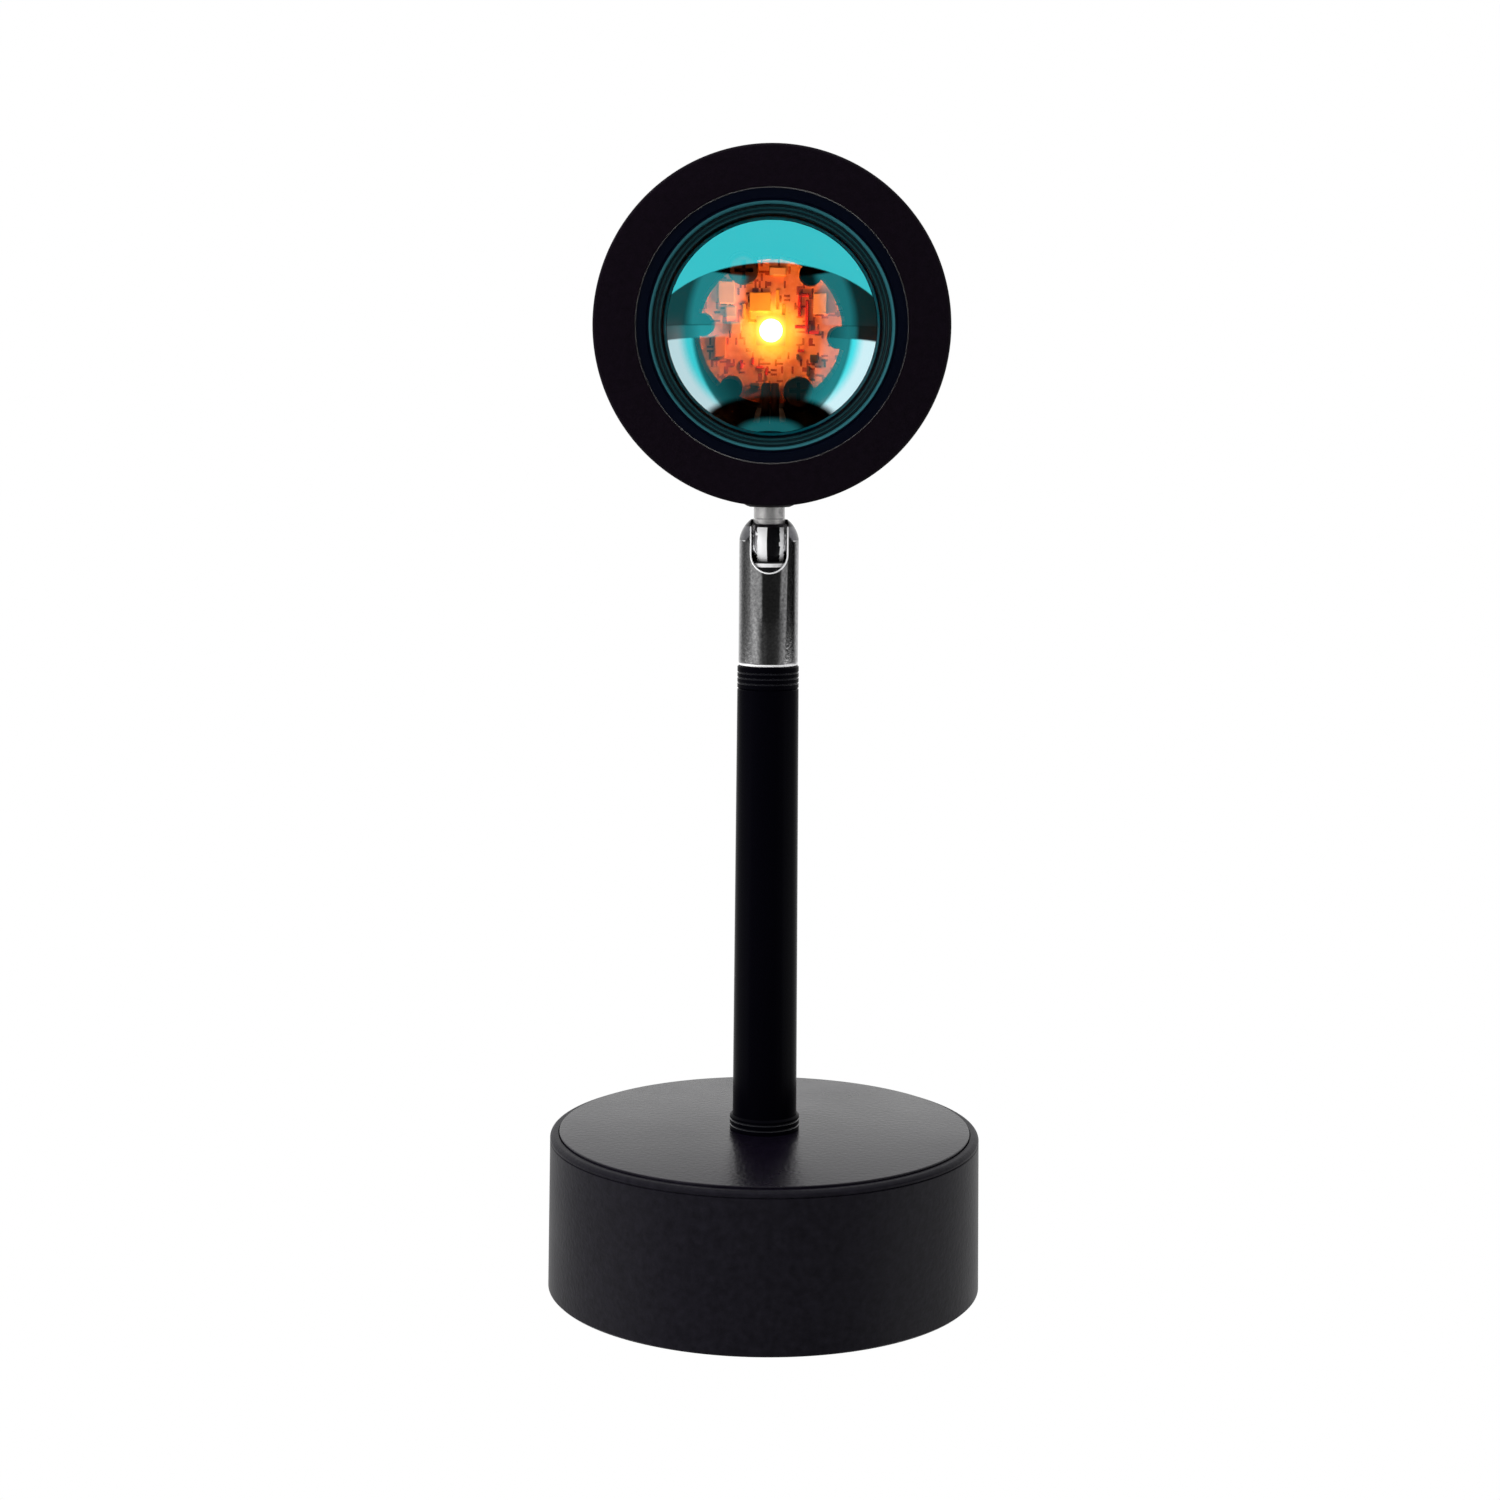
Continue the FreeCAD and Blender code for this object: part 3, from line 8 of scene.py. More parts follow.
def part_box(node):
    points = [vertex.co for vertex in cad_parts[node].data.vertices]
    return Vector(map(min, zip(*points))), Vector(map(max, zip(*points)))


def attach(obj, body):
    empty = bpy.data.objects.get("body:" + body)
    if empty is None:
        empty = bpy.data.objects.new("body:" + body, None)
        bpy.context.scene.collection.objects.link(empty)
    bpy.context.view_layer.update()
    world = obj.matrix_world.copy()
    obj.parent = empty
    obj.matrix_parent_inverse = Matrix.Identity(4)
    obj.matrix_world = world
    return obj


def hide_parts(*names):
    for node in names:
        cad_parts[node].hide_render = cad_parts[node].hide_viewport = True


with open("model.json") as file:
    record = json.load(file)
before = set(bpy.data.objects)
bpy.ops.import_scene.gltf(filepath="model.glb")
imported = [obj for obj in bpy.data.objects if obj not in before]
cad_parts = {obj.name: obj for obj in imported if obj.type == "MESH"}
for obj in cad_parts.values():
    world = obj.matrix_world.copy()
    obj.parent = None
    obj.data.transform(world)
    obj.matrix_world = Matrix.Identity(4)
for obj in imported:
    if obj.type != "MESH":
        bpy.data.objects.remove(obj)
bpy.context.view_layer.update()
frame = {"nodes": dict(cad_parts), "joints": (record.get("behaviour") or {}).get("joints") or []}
mm = 0.001
touch = 0.01                                          # slack in millimetres when faces are picked by their place
print("frame loaded:", len(frame["nodes"]), "nodes")


def low(part):
    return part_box(part)[0]


def high(part):
    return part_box(part)[1]


def turned(degrees, axis):
    return Matrix.Rotation(math.radians(degrees), 4, axis)


headZ = (low("lens").z + high("lens").z) / 2          # lens axis above the table
ballZ = next(joint["pos_m"][2] for joint in frame["joints"] if joint["name"] == "neck_tilt")
ball = ballZ / mm
onHead = Matrix.Translation((0, 0, headZ)) @ turned(90, "X")   # turned +Z becomes the front
materials = {}


# node trees: a value is a socket or a plain value
def feed(tree, value, target):
    if hasattr(value, "links"):
        tree.links.new(value, target)
    else:
        target.default_value = value


def node(tree, kind, values=None, **settings):
    made = tree.nodes.new(kind)
    for name, setting in settings.items():
        setattr(made, name, setting)
    for place, value in (values or {}).items():
        feed(tree, value, made.inputs[place])
    return made


def maths(tree, operation, *values):
    return node(tree, "ShaderNodeMath", dict(enumerate(values)), operation=operation).outputs[0]


def product(tree, first, *others):
    for other in others:
        first = maths(tree, "MULTIPLY", first, other)
    return first


def mapRange(tree, value, fromMin, fromMax, toMin=0.0, toMax=1.0):
    values = {"Value": value, "From Min": fromMin, "From Max": fromMax, "To Min": toMin, "To Max": toMax}
    return node(tree, "ShaderNodeMapRange", values, interpolation_type="SMOOTHSTEP").outputs["Result"]


def noise(tree, where, scale, detail, place="Vector", **settings):
    values = {place: where, "Scale": scale, "Detail": detail}
    return node(tree, "ShaderNodeTexNoise", values, **settings).outputs["Fac"]


def mixColours(tree, share, first, second):
    return node(tree, "ShaderNodeMix", {0: share, 6: first, 7: second}, data_type="RGBA").outputs[2]


def mixShaders(tree, share, first, second):
    return node(tree, "ShaderNodeMixShader", {0: share, 1: first, 2: second}).outputs[0]


def relief(tree, height, strength, distance):
    values = {"Height": height, "Strength": strength, "Distance": distance}
    return node(tree, "ShaderNodeBump", values).outputs["Normal"]


def objectPlace(tree):
    return node(tree, "ShaderNodeTexCoord").outputs["Object"]


def onLensAxis(tree):
    # Object coordinates turned so that Z runs along the lens axis
    values = {"Vector": objectPlace(tree), "Location": (0, -headZ, 0), "Rotation": (math.radians(-90), 0, 0)}
    return node(tree, "ShaderNodeMapping", values).outputs[0]


def axes(tree, place):
    return node(tree, "ShaderNodeSeparateXYZ", {0: place}).outputs


def awayFromAxis(tree, place):
    # distance from the place's Z axis
    x, y, z = axes(tree, place)
    return maths(tree, "SQRT", maths(tree, "ADD", product(tree, x, x), product(tree, y, y)))


def newMaterial(name):
    materials[name] = bpy.data.materials.new(name)
    materials[name].use_nodes = True
    tree = materials[name].node_tree
    tree.nodes.clear()
    return tree, node(tree, "ShaderNodeOutputMaterial").inputs["Surface"]


def newGroup(name, inputs, *outputs):
    # an input without a value is a place
    group = bpy.data.node_groups.new(name, "ShaderNodeTree")
    for label, value in inputs.items():
        kind = "NodeSocketVector" if value is None else "NodeSocketFloat"
        socket = group.interface.new_socket(name=label, in_out="INPUT", socket_type=kind)
        if value is not None:
            socket.default_value = value
    for label in outputs:
        group.interface.new_socket(name=label, in_out="OUTPUT", socket_type="NodeSocketFloat")
    return group, node(group, "NodeGroupInput").outputs, node(group, "NodeGroupOutput").inputs


def makeGrainGroup():
    # fine tooth of a sprayed or moulded surface, with soft clouds in its gloss
    group, into, out = newGroup("surfaceGrain", {"Grain Size": 900.0, "Grain Depth": 0.1, "Roughness": 0.4,
                                                 "Roughness Spread": 0.05}, "Roughness", "Height")
    where = objectPlace(group)
    grain = noise(group, where, into["Grain Size"], detail=3.0)
    clouds = noise(group, where, scale=38.0, detail=4.0)
    spread = product(group, maths(group, "SUBTRACT", clouds, 0.5), into["Roughness Spread"])
    feed(group, maths(group, "ADD", into["Roughness"], spread), out["Roughness"])
    feed(group, product(group, grain, into["Grain Depth"]), out["Height"])
    return group


def makeTurningGroup():
    # concentric tool marks round the Z axis of the place that it is given, as a height
    group, into, out = newGroup("turningMarks", {"Pitch": 2500.0, "Depth": 0.1, "Place": None}, "Height")
    away = product(group, awayFromAxis(group, into["Place"]), into["Pitch"])
    marks = noise(group, away, scale=1.0, detail=2.0, place="W", noise_dimensions="1D")
    feed(group, product(group, marks, into["Depth"]), out["Height"])
    return group


grainGroup = makeGrainGroup()
turningGroup = makeTurningGroup()


def coated(name, colour, roughness, spread=0.04, grainSize=900.0, grainDepth=0.05, bump=0.2, tooth=0.0002,
           specular=0.5, metallic=0.0, tone=0.0, toneScale=60.0, marks=0.0, pitch=4000.0):
    # a finish with a fine grain: enamel, powder coat, plastic, rubber or plated metal
    tree, surface = newMaterial(name)
    grain = node(tree, "ShaderNodeGroup", node_tree=grainGroup)
    for label, value in (("Grain Size", grainSize), ("Grain Depth", grainDepth), ("Roughness", roughness),
                         ("Roughness Spread", spread)):
        grain.inputs[label].default_value = value
    height = grain.outputs["Height"]
    if marks > 0:                                     # tool marks round the lens axis
        turning = node(tree, "ShaderNodeGroup", node_tree=turningGroup)
        for label, value in (("Depth", marks), ("Pitch", pitch), ("Place", onLensAxis(tree))):
            feed(tree, value, turning.inputs[label])
        height = maths(tree, "ADD", height, turning.outputs["Height"])
    shader = node(tree, "ShaderNodeBsdfPrincipled", {
        "Base Color": (*colour, 1.0), "Metallic": metallic, "Specular IOR Level": specular,
        "Roughness": grain.outputs["Roughness"], "Normal": relief(tree, height, bump, tooth)})
    if tone > 0:                                      # slow drift of the colour over the surface
        ramp = node(tree, "ShaderNodeValToRGB", {"Fac": noise(tree, objectPlace(tree), toneScale, detail=5.0)})
        for stop, share in zip(ramp.color_ramp.elements, (1 - tone, 1 + tone)):
            stop.color = (*[min(1.0, part * share) for part in colour], 1.0)
        feed(tree, ramp.outputs["Color"], shader.inputs["Base Color"])
    feed(tree, shader.outputs[0], surface)


finishes = {
    "baseEnamel": dict(colour=(0.0068, 0.0062, 0.0092), roughness=0.40, spread=0.14, grainDepth=0.8, bump=0.5,
                       specular=0.08, tone=0.6, toneScale=520.0),
    "plateEnamel": dict(colour=(0.0034, 0.0024, 0.0058), roughness=0.25, spread=0.16, grainSize=800.0,
                        grainDepth=0.8, bump=0.5, specular=0.29, tone=0.7, toneScale=520.0),
    "poleEnamel": dict(colour=(0.0008, 0.0007, 0.0018), roughness=0.24, grainSize=500.0, grainDepth=0.03,
                       bump=0.1, specular=0.02, tone=0.15),
    "powderCoat": dict(colour=(0.0027, 0.0009, 0.0034), roughness=0.62, spread=0.08, grainSize=2600.0,
                       grainDepth=0.6, bump=0.5, specular=0.12, tone=0.5, toneScale=600.0),
    "ringAnodised": dict(colour=(0.0004, 0.0012, 0.0055), roughness=0.28, grainSize=1800.0, specular=0.3,
                         tone=0.2, marks=0.15),
    "ringLip": dict(colour=(0.03, 0.17, 0.20), roughness=0.32, specular=0.6, metallic=0.5, marks=0.2),
    "lensRim": dict(colour=(0.0016, 0.009, 0.012), roughness=0.14, specular=0.9, marks=1.0, pitch=1500.0,
                    bump=0.8),
    "rimLine": dict(colour=(0.003, 0.032, 0.038), roughness=0.30, specular=0.6, marks=0.2),
    "fineLine": dict(colour=(0.010, 0.010, 0.013), roughness=0.30, specular=0.6),
    "chromePlate": dict(colour=(0.60, 0.59, 0.64), roughness=0.10, spread=0.12, grainSize=1300.0,
                        grainDepth=0.6, bump=0.10, metallic=1.0, tone=0.75, toneScale=1500.0),
    "chromeSmoke": dict(colour=(0.13, 0.13, 0.14), roughness=0.20, spread=0.10, grainSize=1300.0,
                        grainDepth=0.8, metallic=1.0, tone=0.4, toneScale=1100.0),
    "chromeLip": dict(colour=(0.010, 0.010, 0.012), roughness=0.25, spread=0.05, metallic=0.6),
    "chromeEdge": dict(colour=(0.88, 0.88, 0.89), roughness=0.38, spread=0.05, grainSize=1300.0,
                       grainDepth=0.2, bump=0.1, metallic=0.25),
    "chromeBright": dict(colour=(0.78, 0.78, 0.80), roughness=0.04, spread=0.02, grainSize=300.0,
                         grainDepth=0.02, bump=0.05, metallic=1.0),
    "nickelSatin": dict(colour=(0.76, 0.75, 0.745), roughness=0.24, spread=0.10, grainSize=1300.0,
                        grainDepth=0.6, bump=0.3, metallic=0.75, tone=0.3, toneScale=650.0),
    "acetalBlack": dict(colour=(0.006, 0.006, 0.007), roughness=0.4, spread=0.05, grainDepth=0.1),
    "zincPlate": dict(colour=(0.60, 0.60, 0.61), roughness=0.28, spread=0.08, grainSize=1500.0,
                      grainDepth=0.1, metallic=1.0),
    "screwDark": dict(colour=(0.06, 0.05, 0.045), roughness=0.35, spread=0.08, grainSize=1500.0,
                      grainDepth=0.2, metallic=1.0),
    "screwRecess": dict(colour=(0.012, 0.012, 0.013), roughness=0.6, spread=0.08, grainSize=1500.0,
                        grainDepth=0.2, specular=0.2),
    "baffleBlack": dict(colour=(0.003, 0.004, 0.004), roughness=0.8, spread=0.05, grainSize=1500.0,
                        grainDepth=0.3, bump=0.3, specular=0.1),
    "rubberBlack": dict(colour=(0.018, 0.018, 0.018), roughness=0.75, spread=0.06, grainSize=1200.0,
                        grainDepth=0.5, bump=0.5, specular=0.3, tone=0.2),
    "ballastIron": dict(colour=(0.10, 0.095, 0.09), roughness=0.6, spread=0.1, grainSize=700.0,
                        grainDepth=0.6, bump=0.6, metallic=0.8),
    "boardLaminate": dict(colour=(0.02, 0.16, 0.06), roughness=0.3, grainDepth=0.1),
    "mouldedParts": dict(colour=(0.03, 0.03, 0.033), roughness=0.4, spread=0.05),
    "nylonNatural": dict(colour=(0.80, 0.78, 0.72), roughness=0.45, spread=0.05, grainSize=800.0,
                         grainDepth=0.1),
    "finAluminium": dict(colour=(0.62, 0.62, 0.63), roughness=0.35, spread=0.08, grainSize=1600.0,
                         grainDepth=0.2, bump=0.3, metallic=1.0, specular=0.1),
    "padSilicone": dict(colour=(0.5, 0.52, 0.55), roughness=0.6),
    "chipPale": dict(colour=(0.92, 0.90, 0.80), roughness=0.3),
    "leadDark": dict(colour=(0.008, 0.004, 0.004), roughness=0.45, spread=0.05),
    "chipRed": dict(colour=(0.30, 0.02, 0.01), roughness=0.35),
    "chipAmber": dict(colour=(0.92, 0.50, 0.14), roughness=0.35),
    "chipYellow": dict(colour=(1.0, 0.95, 0.20), roughness=0.35),
}
sinkValues = dict(black=(0.0025, 0.0025, 0.003, 1), depth=0.0004, roughness=0.8)


def blackenSinkFront():
    # bare fins behind; the face round the board is blackened against stray light
    v = sinkValues
    tree = materials["finAluminium"].node_tree
    inputs = next(one for one in tree.nodes if one.type == "BSDF_PRINCIPLED").inputs
    faceY = low("heat_sink").y
    y = axes(tree, objectPlace(tree))["Y"]
    front = mapRange(tree, y, faceY + v["depth"] / 2, faceY + v["depth"], 1.0, 0.0)
    bare, rough = inputs["Base Color"].default_value[:], inputs["Roughness"].links[0].from_socket
    feed(tree, mixColours(tree, front, bare, v["black"]), inputs["Base Color"])
    feed(tree, maths(tree, "SUBTRACT", 1.0, front), inputs["Metallic"])
    feed(tree, maths(tree, "MAXIMUM", rough, product(tree, front, v["roughness"])), inputs["Roughness"])


glassValues = dict(coat=(0.04, 0.53, 0.58, 1), coatEdge=(0.44, 0.62, 0.66, 1), coatRoughness=0.012,
                   passes=(0.97, 0.46, 0.24, 1), clear=(0.98, 0.99, 0.99, 1), ior=1.5,
                   # the coat thins out below the axis, towards both sides
                   thinFrom=0.0035, thinTo=-0.004, thinAside=(0.008, 0.012), thinFacing=(0.17, 0.23))


def glass(tree, colour):
    values = {"Color": colour, "IOR": glassValues["ior"], "Roughness": 0.0}
    return node(tree, "ShaderNodeBsdfRefraction", values).outputs[0]


def makeCoatedGlass():
    # clear glass behind a thin coat that mirrors blue-green and lets the orange light through
    v = glassValues
    tree, surface = newMaterial("lensCoated")
    through = glass(tree, v["passes"])
    x, y, z = axes(tree, objectPlace(tree))
    facing = node(tree, "ShaderNodeLayerWeight", {"Blend": 0.5}).outputs["Facing"]
    thin = product(tree, mapRange(tree, z, headZ + v["thinTo"], headZ + v["thinFrom"], 1.0, 0.0),
                   mapRange(tree, maths(tree, "ABSOLUTE", x), *v["thinAside"]),
                   mapRange(tree, facing, *v["thinFacing"]))
    mirror = node(tree, "ShaderNodeBsdfGlossy", {
        "Roughness": v["coatRoughness"], "Color": mixColours(tree, thin, v["coat"], v["coatEdge"])})
    both = node(tree, "ShaderNodeAddShader", {0: through, 1: mirror.outputs[0]}).outputs[0]
    behind = node(tree, "ShaderNodeNewGeometry").outputs["Backfacing"]
    feed(tree, mixShaders(tree, behind, both, through), surface)


def makeClearGlass():
    tree, surface = newMaterial("lensClear")
    feed(tree, glass(tree, glassValues["clear"]), surface)


# colour, then between which distances from the lens axis the strength falls, from and to
glowValues = dict(ledHot=((1.0, 0.80, 0.50), 0.0009, 0.0019, 70.0, 6.0),
                  ledPhosphor=((1.0, 0.86, 0.16), 0.0014, 0.0030, 3.0, 1.0))


def makeGlow(name, colour, *fall):
    tree, surface = newMaterial(name)
    strength = mapRange(tree, awayFromAxis(tree, onLensAxis(tree)), *fall)
    glow = node(tree, "ShaderNodeEmission", {"Strength": strength, "Color": (*colour, 1)})
    feed(tree, glow.outputs[0], surface)


starValues = dict(pale=(0.90, 0.62, 0.44, 1), tan=(0.66, 0.34, 0.20, 1), cloudScale=320.0, cloudEdge=(0.40, 0.60),
                  track=(0.16, 0.035, 0.02, 1), lyingBars=(0.0009, 0.0003, 0.09), roughness=0.35,
                  uprightBars=(0.0003, 0.0010, 0.09), barRelief=0.6, barHeight=0.00015,
                  clearRadius=(0.0032, 0.0044), glow=(1.0, 0.80, 0.10, 1), noGlow=(0, 0, 0, 1),
                  paintedGlowRadius=(0.0014, 0.0056), paintedGlowStrength=1.7,
                  shade=(0.05, 0.02, 0.016, 1), shadeFrom=-0.0085, shadeTo=-0.0045)


def bars(tree, where, wide, tall, share):
    # a mask of small upright or lying bars, like the tracks of a board
    grid = node(tree, "ShaderNodeVectorMath", {0: where, 1: (wide, tall, 1.0)}, operation="SNAP")
    chance = node(tree, "ShaderNodeTexWhiteNoise", {"Vector": grid.outputs[0]})
    return maths(tree, "GREATER_THAN", chance.outputs["Value"], 1.0 - share)


def makeStarMask():
    # solder mask over copper tracks, lit by the die beside it, with a painted glow round the die and painted shade
    # along its lower edge
    v = starValues
    tree, surface = newMaterial("starMask")
    where = onLensAxis(tree)
    away = awayFromAxis(tree, where)
    tracks = maths(tree, "MAXIMUM", bars(tree, where, *v["lyingBars"]), bars(tree, where, *v["uprightBars"]))
    tracks = product(tree, tracks, mapRange(tree, away, *v["clearRadius"]))
    clouds = mapRange(tree, noise(tree, where, v["cloudScale"], detail=5.0), *v["cloudEdge"])
    colour = mixColours(tree, tracks, mixColours(tree, clouds, v["tan"], v["pale"]), v["track"])
    z = axes(tree, objectPlace(tree))["Z"]            # painted shade: the board's lower edge is darkened
    lit = mapRange(tree, z, headZ + v["shadeFrom"], headZ + v["shadeTo"])
    # painted glow: the board itself emits light round the die
    paintedGlow = mixColours(tree, mapRange(tree, away, *v["paintedGlowRadius"]), v["glow"], v["noGlow"])
    shader = node(tree, "ShaderNodeBsdfPrincipled", {
        "Base Color": mixColours(tree, lit, v["shade"], colour), "Roughness": v["roughness"],
        "Emission Color": paintedGlow, "Emission Strength": v["paintedGlowStrength"],
        "Normal": relief(tree, tracks, v["barRelief"], v["barHeight"])})
    feed(tree, shader.outputs[0], surface)


for name, values in finishes.items():
    coated(name, **values)
blackenSinkFront()
makeStarMask()
makeCoatedGlass()
makeClearGlass()
for name, values in glowValues.items():
    makeGlow(name, *values)
print("materials made:", len(materials))


def dress(thing, looks):
    if len(thing.data.materials):                     # clearing also forgets which face has which finish
        thing.data.materials.clear()
    for look in looks.split():
        thing.data.materials.append(materials[look])


def finish(thing, body, looks, slot, *parts):
    # its finishes, its body and the nodes that it stands for
    dress(thing, looks)
    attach(thing, body)
    if parts:
        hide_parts(*parts)


def middles(thing, height=0.0):
    # each face and its middle in millimetres, counted from this height
    for face in thing.data.polygons:
        x, y, z = face.center
        yield face, x / mm, y / mm, (z - height) / mm


# shapes
def arc(centre, radius, start, stop, count):
    # points of a round stretch; angles in degrees
    angles = [math.radians(start + (stop - start) * i / count) for i in range(count + 1)]
    return [(centre[0] + radius * math.cos(a), centre[1] + radius * math.sin(a)) for a in angles]


def groove(radius, centre, width, depth):
    # a fine line turned into a side
    return [(radius, centre - width / 2), (radius - depth, centre), (radius, centre + width / 2)]


def sharpen(mesh, degrees):
    # smooth faces, with the edges sharper than this kept crisp
    for face in mesh.polygons:
        face.use_smooth = True
    work = bmesh.new()
    work.from_mesh(mesh)
    for edge in work.edges:
        edge.smooth = edge.is_manifold and edge.calc_face_angle(0.0) < math.radians(degrees)
    work.to_mesh(mesh)
    work.free()


def newThing(name, work):
    mesh = bpy.data.meshes.new(name)
    work.to_mesh(mesh)
    work.free()
    thing = bpy.data.objects.new(name, mesh)
    bpy.context.scene.collection.objects.link(thing)
    return thing


def lathe(name, profile, steps=160, closed=True, place=None, crisp=35.0):
    # turns a profile of (radius, height) in millimetres about the Z axis
    work = bmesh.new()
    points = [work.verts.new((radius * mm, 0, height * mm)) for radius, height in profile]
    edges = [work.edges.new(pair) for pair in zip(points, points[1:])]
    if closed:
        edges.append(work.edges.new((points[-1], points[0])))
    bmesh.ops.spin(work, geom=points + edges, cent=(0, 0, 0), axis=(0, 0, 1), angle=math.tau,
                   steps=steps, use_merge=True, use_duplicate=False)
    bmesh.ops.remove_doubles(work, verts=work.verts, dist=1e-7)
    bmesh.ops.dissolve_degenerate(work, dist=1e-8, edges=work.edges)
    bmesh.ops.recalc_face_normals(work, faces=work.faces)
    if place:
        work.transform(place)
    thing = newThing(name, work)
    sharpen(thing.data, crisp)
    return thing


def carve(thing, *cutters):
    # takes the cutters out of the piece
    for cutter in cutters:
        change = thing.modifiers.new("carve", "BOOLEAN")
        change.operation = "DIFFERENCE"
        change.solver = "EXACT"
        change.object = cutter
    graph = bpy.context.evaluated_depsgraph_get()
    result = bpy.data.meshes.new_from_object(thing.evaluated_get(graph))
    thing.modifiers.clear()
    thing.data = result
    for cutter in cutters:
        bpy.data.objects.remove(cutter)


def rod(name, radius, length, place):
    work = bmesh.new()
    bmesh.ops.create_cone(work, cap_ends=True, segments=96, radius1=radius * mm, radius2=radius * mm,
                          depth=length * mm)
    work.transform(place)
    return newThing(name, work)


def slab(name, wide, deep, tall):
    work = bmesh.new()
    bmesh.ops.create_cube(work, size=mm)
    bmesh.ops.scale(work, vec=(wide, deep, tall), verts=work.verts)
    return newThing(name, work)


def roundOff(work, edges, size, segments):
    bmesh.ops.bevel(work, geom=edges, offset=size * mm, offset_type="OFFSET", affect="EDGES",
                    segments=segments, profile=0.5, material=-1, clamp_overlap=True)


def roundedBlock(wide, deep, tall, corner, segments, place):
    work = bmesh.new()
    bmesh.ops.create_cube(work, size=1.0)
    bmesh.ops.scale(work, vec=(wide * mm, deep * mm, tall * mm), verts=work.verts)
    roundOff(work, work.edges[:], corner, segments)
    bmesh.ops.translate(work, vec=place, verts=work.verts)
    return work


def addTo(work, part):
    held = bpy.data.meshes.new("held")
    part.to_mesh(held)
    part.free()
    work.from_mesh(held)
    bpy.data.meshes.remove(held)


# base
shellValues = dict(bottomRadius=54.25, bottomEdge=0.5, shoulderRadius=53.7, shoulderRound=1.2, bottom=1.0, top=40.6,
                   seamRadius=51.65, recessFloor=39.7, roofUnder=37.2, innerRadius=51.1, boreRadius=5.05,
                   lineDrop=1.65, lineWidth=0.5, lineDepth=0.35, inletHeight=9.5,
                   inletCuts=((3.35, 41.1, 20.0), (5.05, 52.8, 10.0)))   # radius, start and length


def makeBaseShell():
    v = shellValues
    side, bottom, top, edge, turn = v["shoulderRadius"], v["bottom"], v["top"], v["bottomEdge"], v["shoulderRound"]
    profile = [(v["innerRadius"], bottom), (v["bottomRadius"] - edge, bottom), (v["bottomRadius"], bottom + edge)]
    profile += groove(side, top - v["lineDrop"], v["lineWidth"], v["lineDepth"])
    profile += arc((side - turn, top - turn), turn, 0, 90, 10)
    profile += [(v["seamRadius"], top), (v["seamRadius"], v["recessFloor"]), (v["boreRadius"], v["recessFloor"]),
                (v["boreRadius"], v["roofUnder"]), (v["innerRadius"], v["roofUnder"])]
    shell = lathe("baseShell", profile, steps=192)
    cutters = []
    for radius, start, length in v["inletCuts"]:
        middle = Matrix.Translation((0, (start + length / 2) * mm, v["inletHeight"] * mm))
        cutters.append(rod("inletCutter", radius, length, middle @ turned(90, "X")))
    carve(shell, *cutters)
    sharpen(shell.data, 30)
    finish(shell, "root", "baseEnamel", "base_paint", "base_shell")


plateValues = dict(radius=51.4, bottom=39.7, top=41.2, boreRadius=5.05, edge=0.3)


def makeTopPlate():
    v = plateValues
    side, top, edge = v["radius"], v["top"], v["edge"]
    profile = [(v["boreRadius"], v["bottom"]), (side, v["bottom"]), (side, top - edge)]
    profile += arc((side - edge, top - edge), edge, 0, 90, 4)[1:] + [(v["boreRadius"], top)]
    finish(lathe("topPlate", profile, steps=192), "root", "plateEnamel", "base_paint", "top_plate")


makeBaseShell()
makeTopPlate()
print("base made")

# pole
lineValues = dict(width=0.4, depth=0.25, tilt=0.72)
footValues = dict(radius=8.7, height=3.9, edge=0.5, lines=2, lineDrop=1.25, linePitch=1.4, bore=5.05,
                  spigotRadius=6.5, spigot=10.0)
tubeValues = dict(foot=8.0, top=7.55, bore=6.55)
capValues = dict(height=5.6, lines=3, lineDrop=1.6, linePitch=1.3, bore=3.55, spigotRadius=6.5, spigot=9.0)


def fineLines(radius, top, v):
    points = []
    for i in reversed(range(v["lines"])):
        points += groove(radius, top - v["lineDrop"] - i * v["linePitch"], lineValues["width"], lineValues["depth"])
    return points


def makePolePiece(name, part, profile, lined=None):
    v = lineValues
    thing = lathe(name, profile, steps=128)
    finish(thing, "root", "poleEnamel fineLine" if lined else "poleEnamel", "pole_paint", part)
    if lined:                                         # the sloping faces of the fine lines get a paler, glossier finish: a painted highlight
        for face, x, y, z in middles(thing):
            inLine = abs(math.hypot(x, y) - (lined - v["depth"] / 2)) < v["depth"] / 4
            if inLine and abs(face.normal.z) > v["tilt"]:
                face.material_index = 1


def makePole():
    foot, tube, cap, fine = footValues, tubeValues, capValues, lineValues["depth"]
    plate, capTop = high("top_plate").z / mm, high("pole_top_cap").z / mm
    footTop, tubeTop = plate + foot["height"], capTop - cap["height"]
    side, edge, inner = foot["radius"], foot["edge"], foot["spigotRadius"]
    profile = [(foot["bore"], plate), (side - fine, plate), (side, plate + fine)]
    profile += fineLines(side, footTop, foot)
    profile += [(side, footTop - edge), (side - edge, footTop), (inner, footTop),
                (inner, footTop + foot["spigot"]), (foot["bore"], footTop + foot["spigot"])]
    makePolePiece("poleFoot", "pole_foot", profile, side)
    side, inner = tube["top"], cap["spigotRadius"]
    profile = [(tube["bore"], footTop), (tube["foot"], footTop), (side, tubeTop - fine), (side - fine, tubeTop),
               (tube["bore"], tubeTop)]
    makePolePiece("poleTube", "pole_tube", profile)
    profile = [(cap["bore"], tubeTop - cap["spigot"]), (inner, tubeTop - cap["spigot"]), (inner, tubeTop),
               (side - fine, tubeTop), (side, tubeTop + fine)]
    profile += fineLines(side, capTop, cap)
    profile += [(side, capTop - fine), (side - fine, capTop), (cap["bore"], capTop)]
    makePolePiece("poleCap", "pole_top_cap", profile, side)


makePole()
print("pole made")

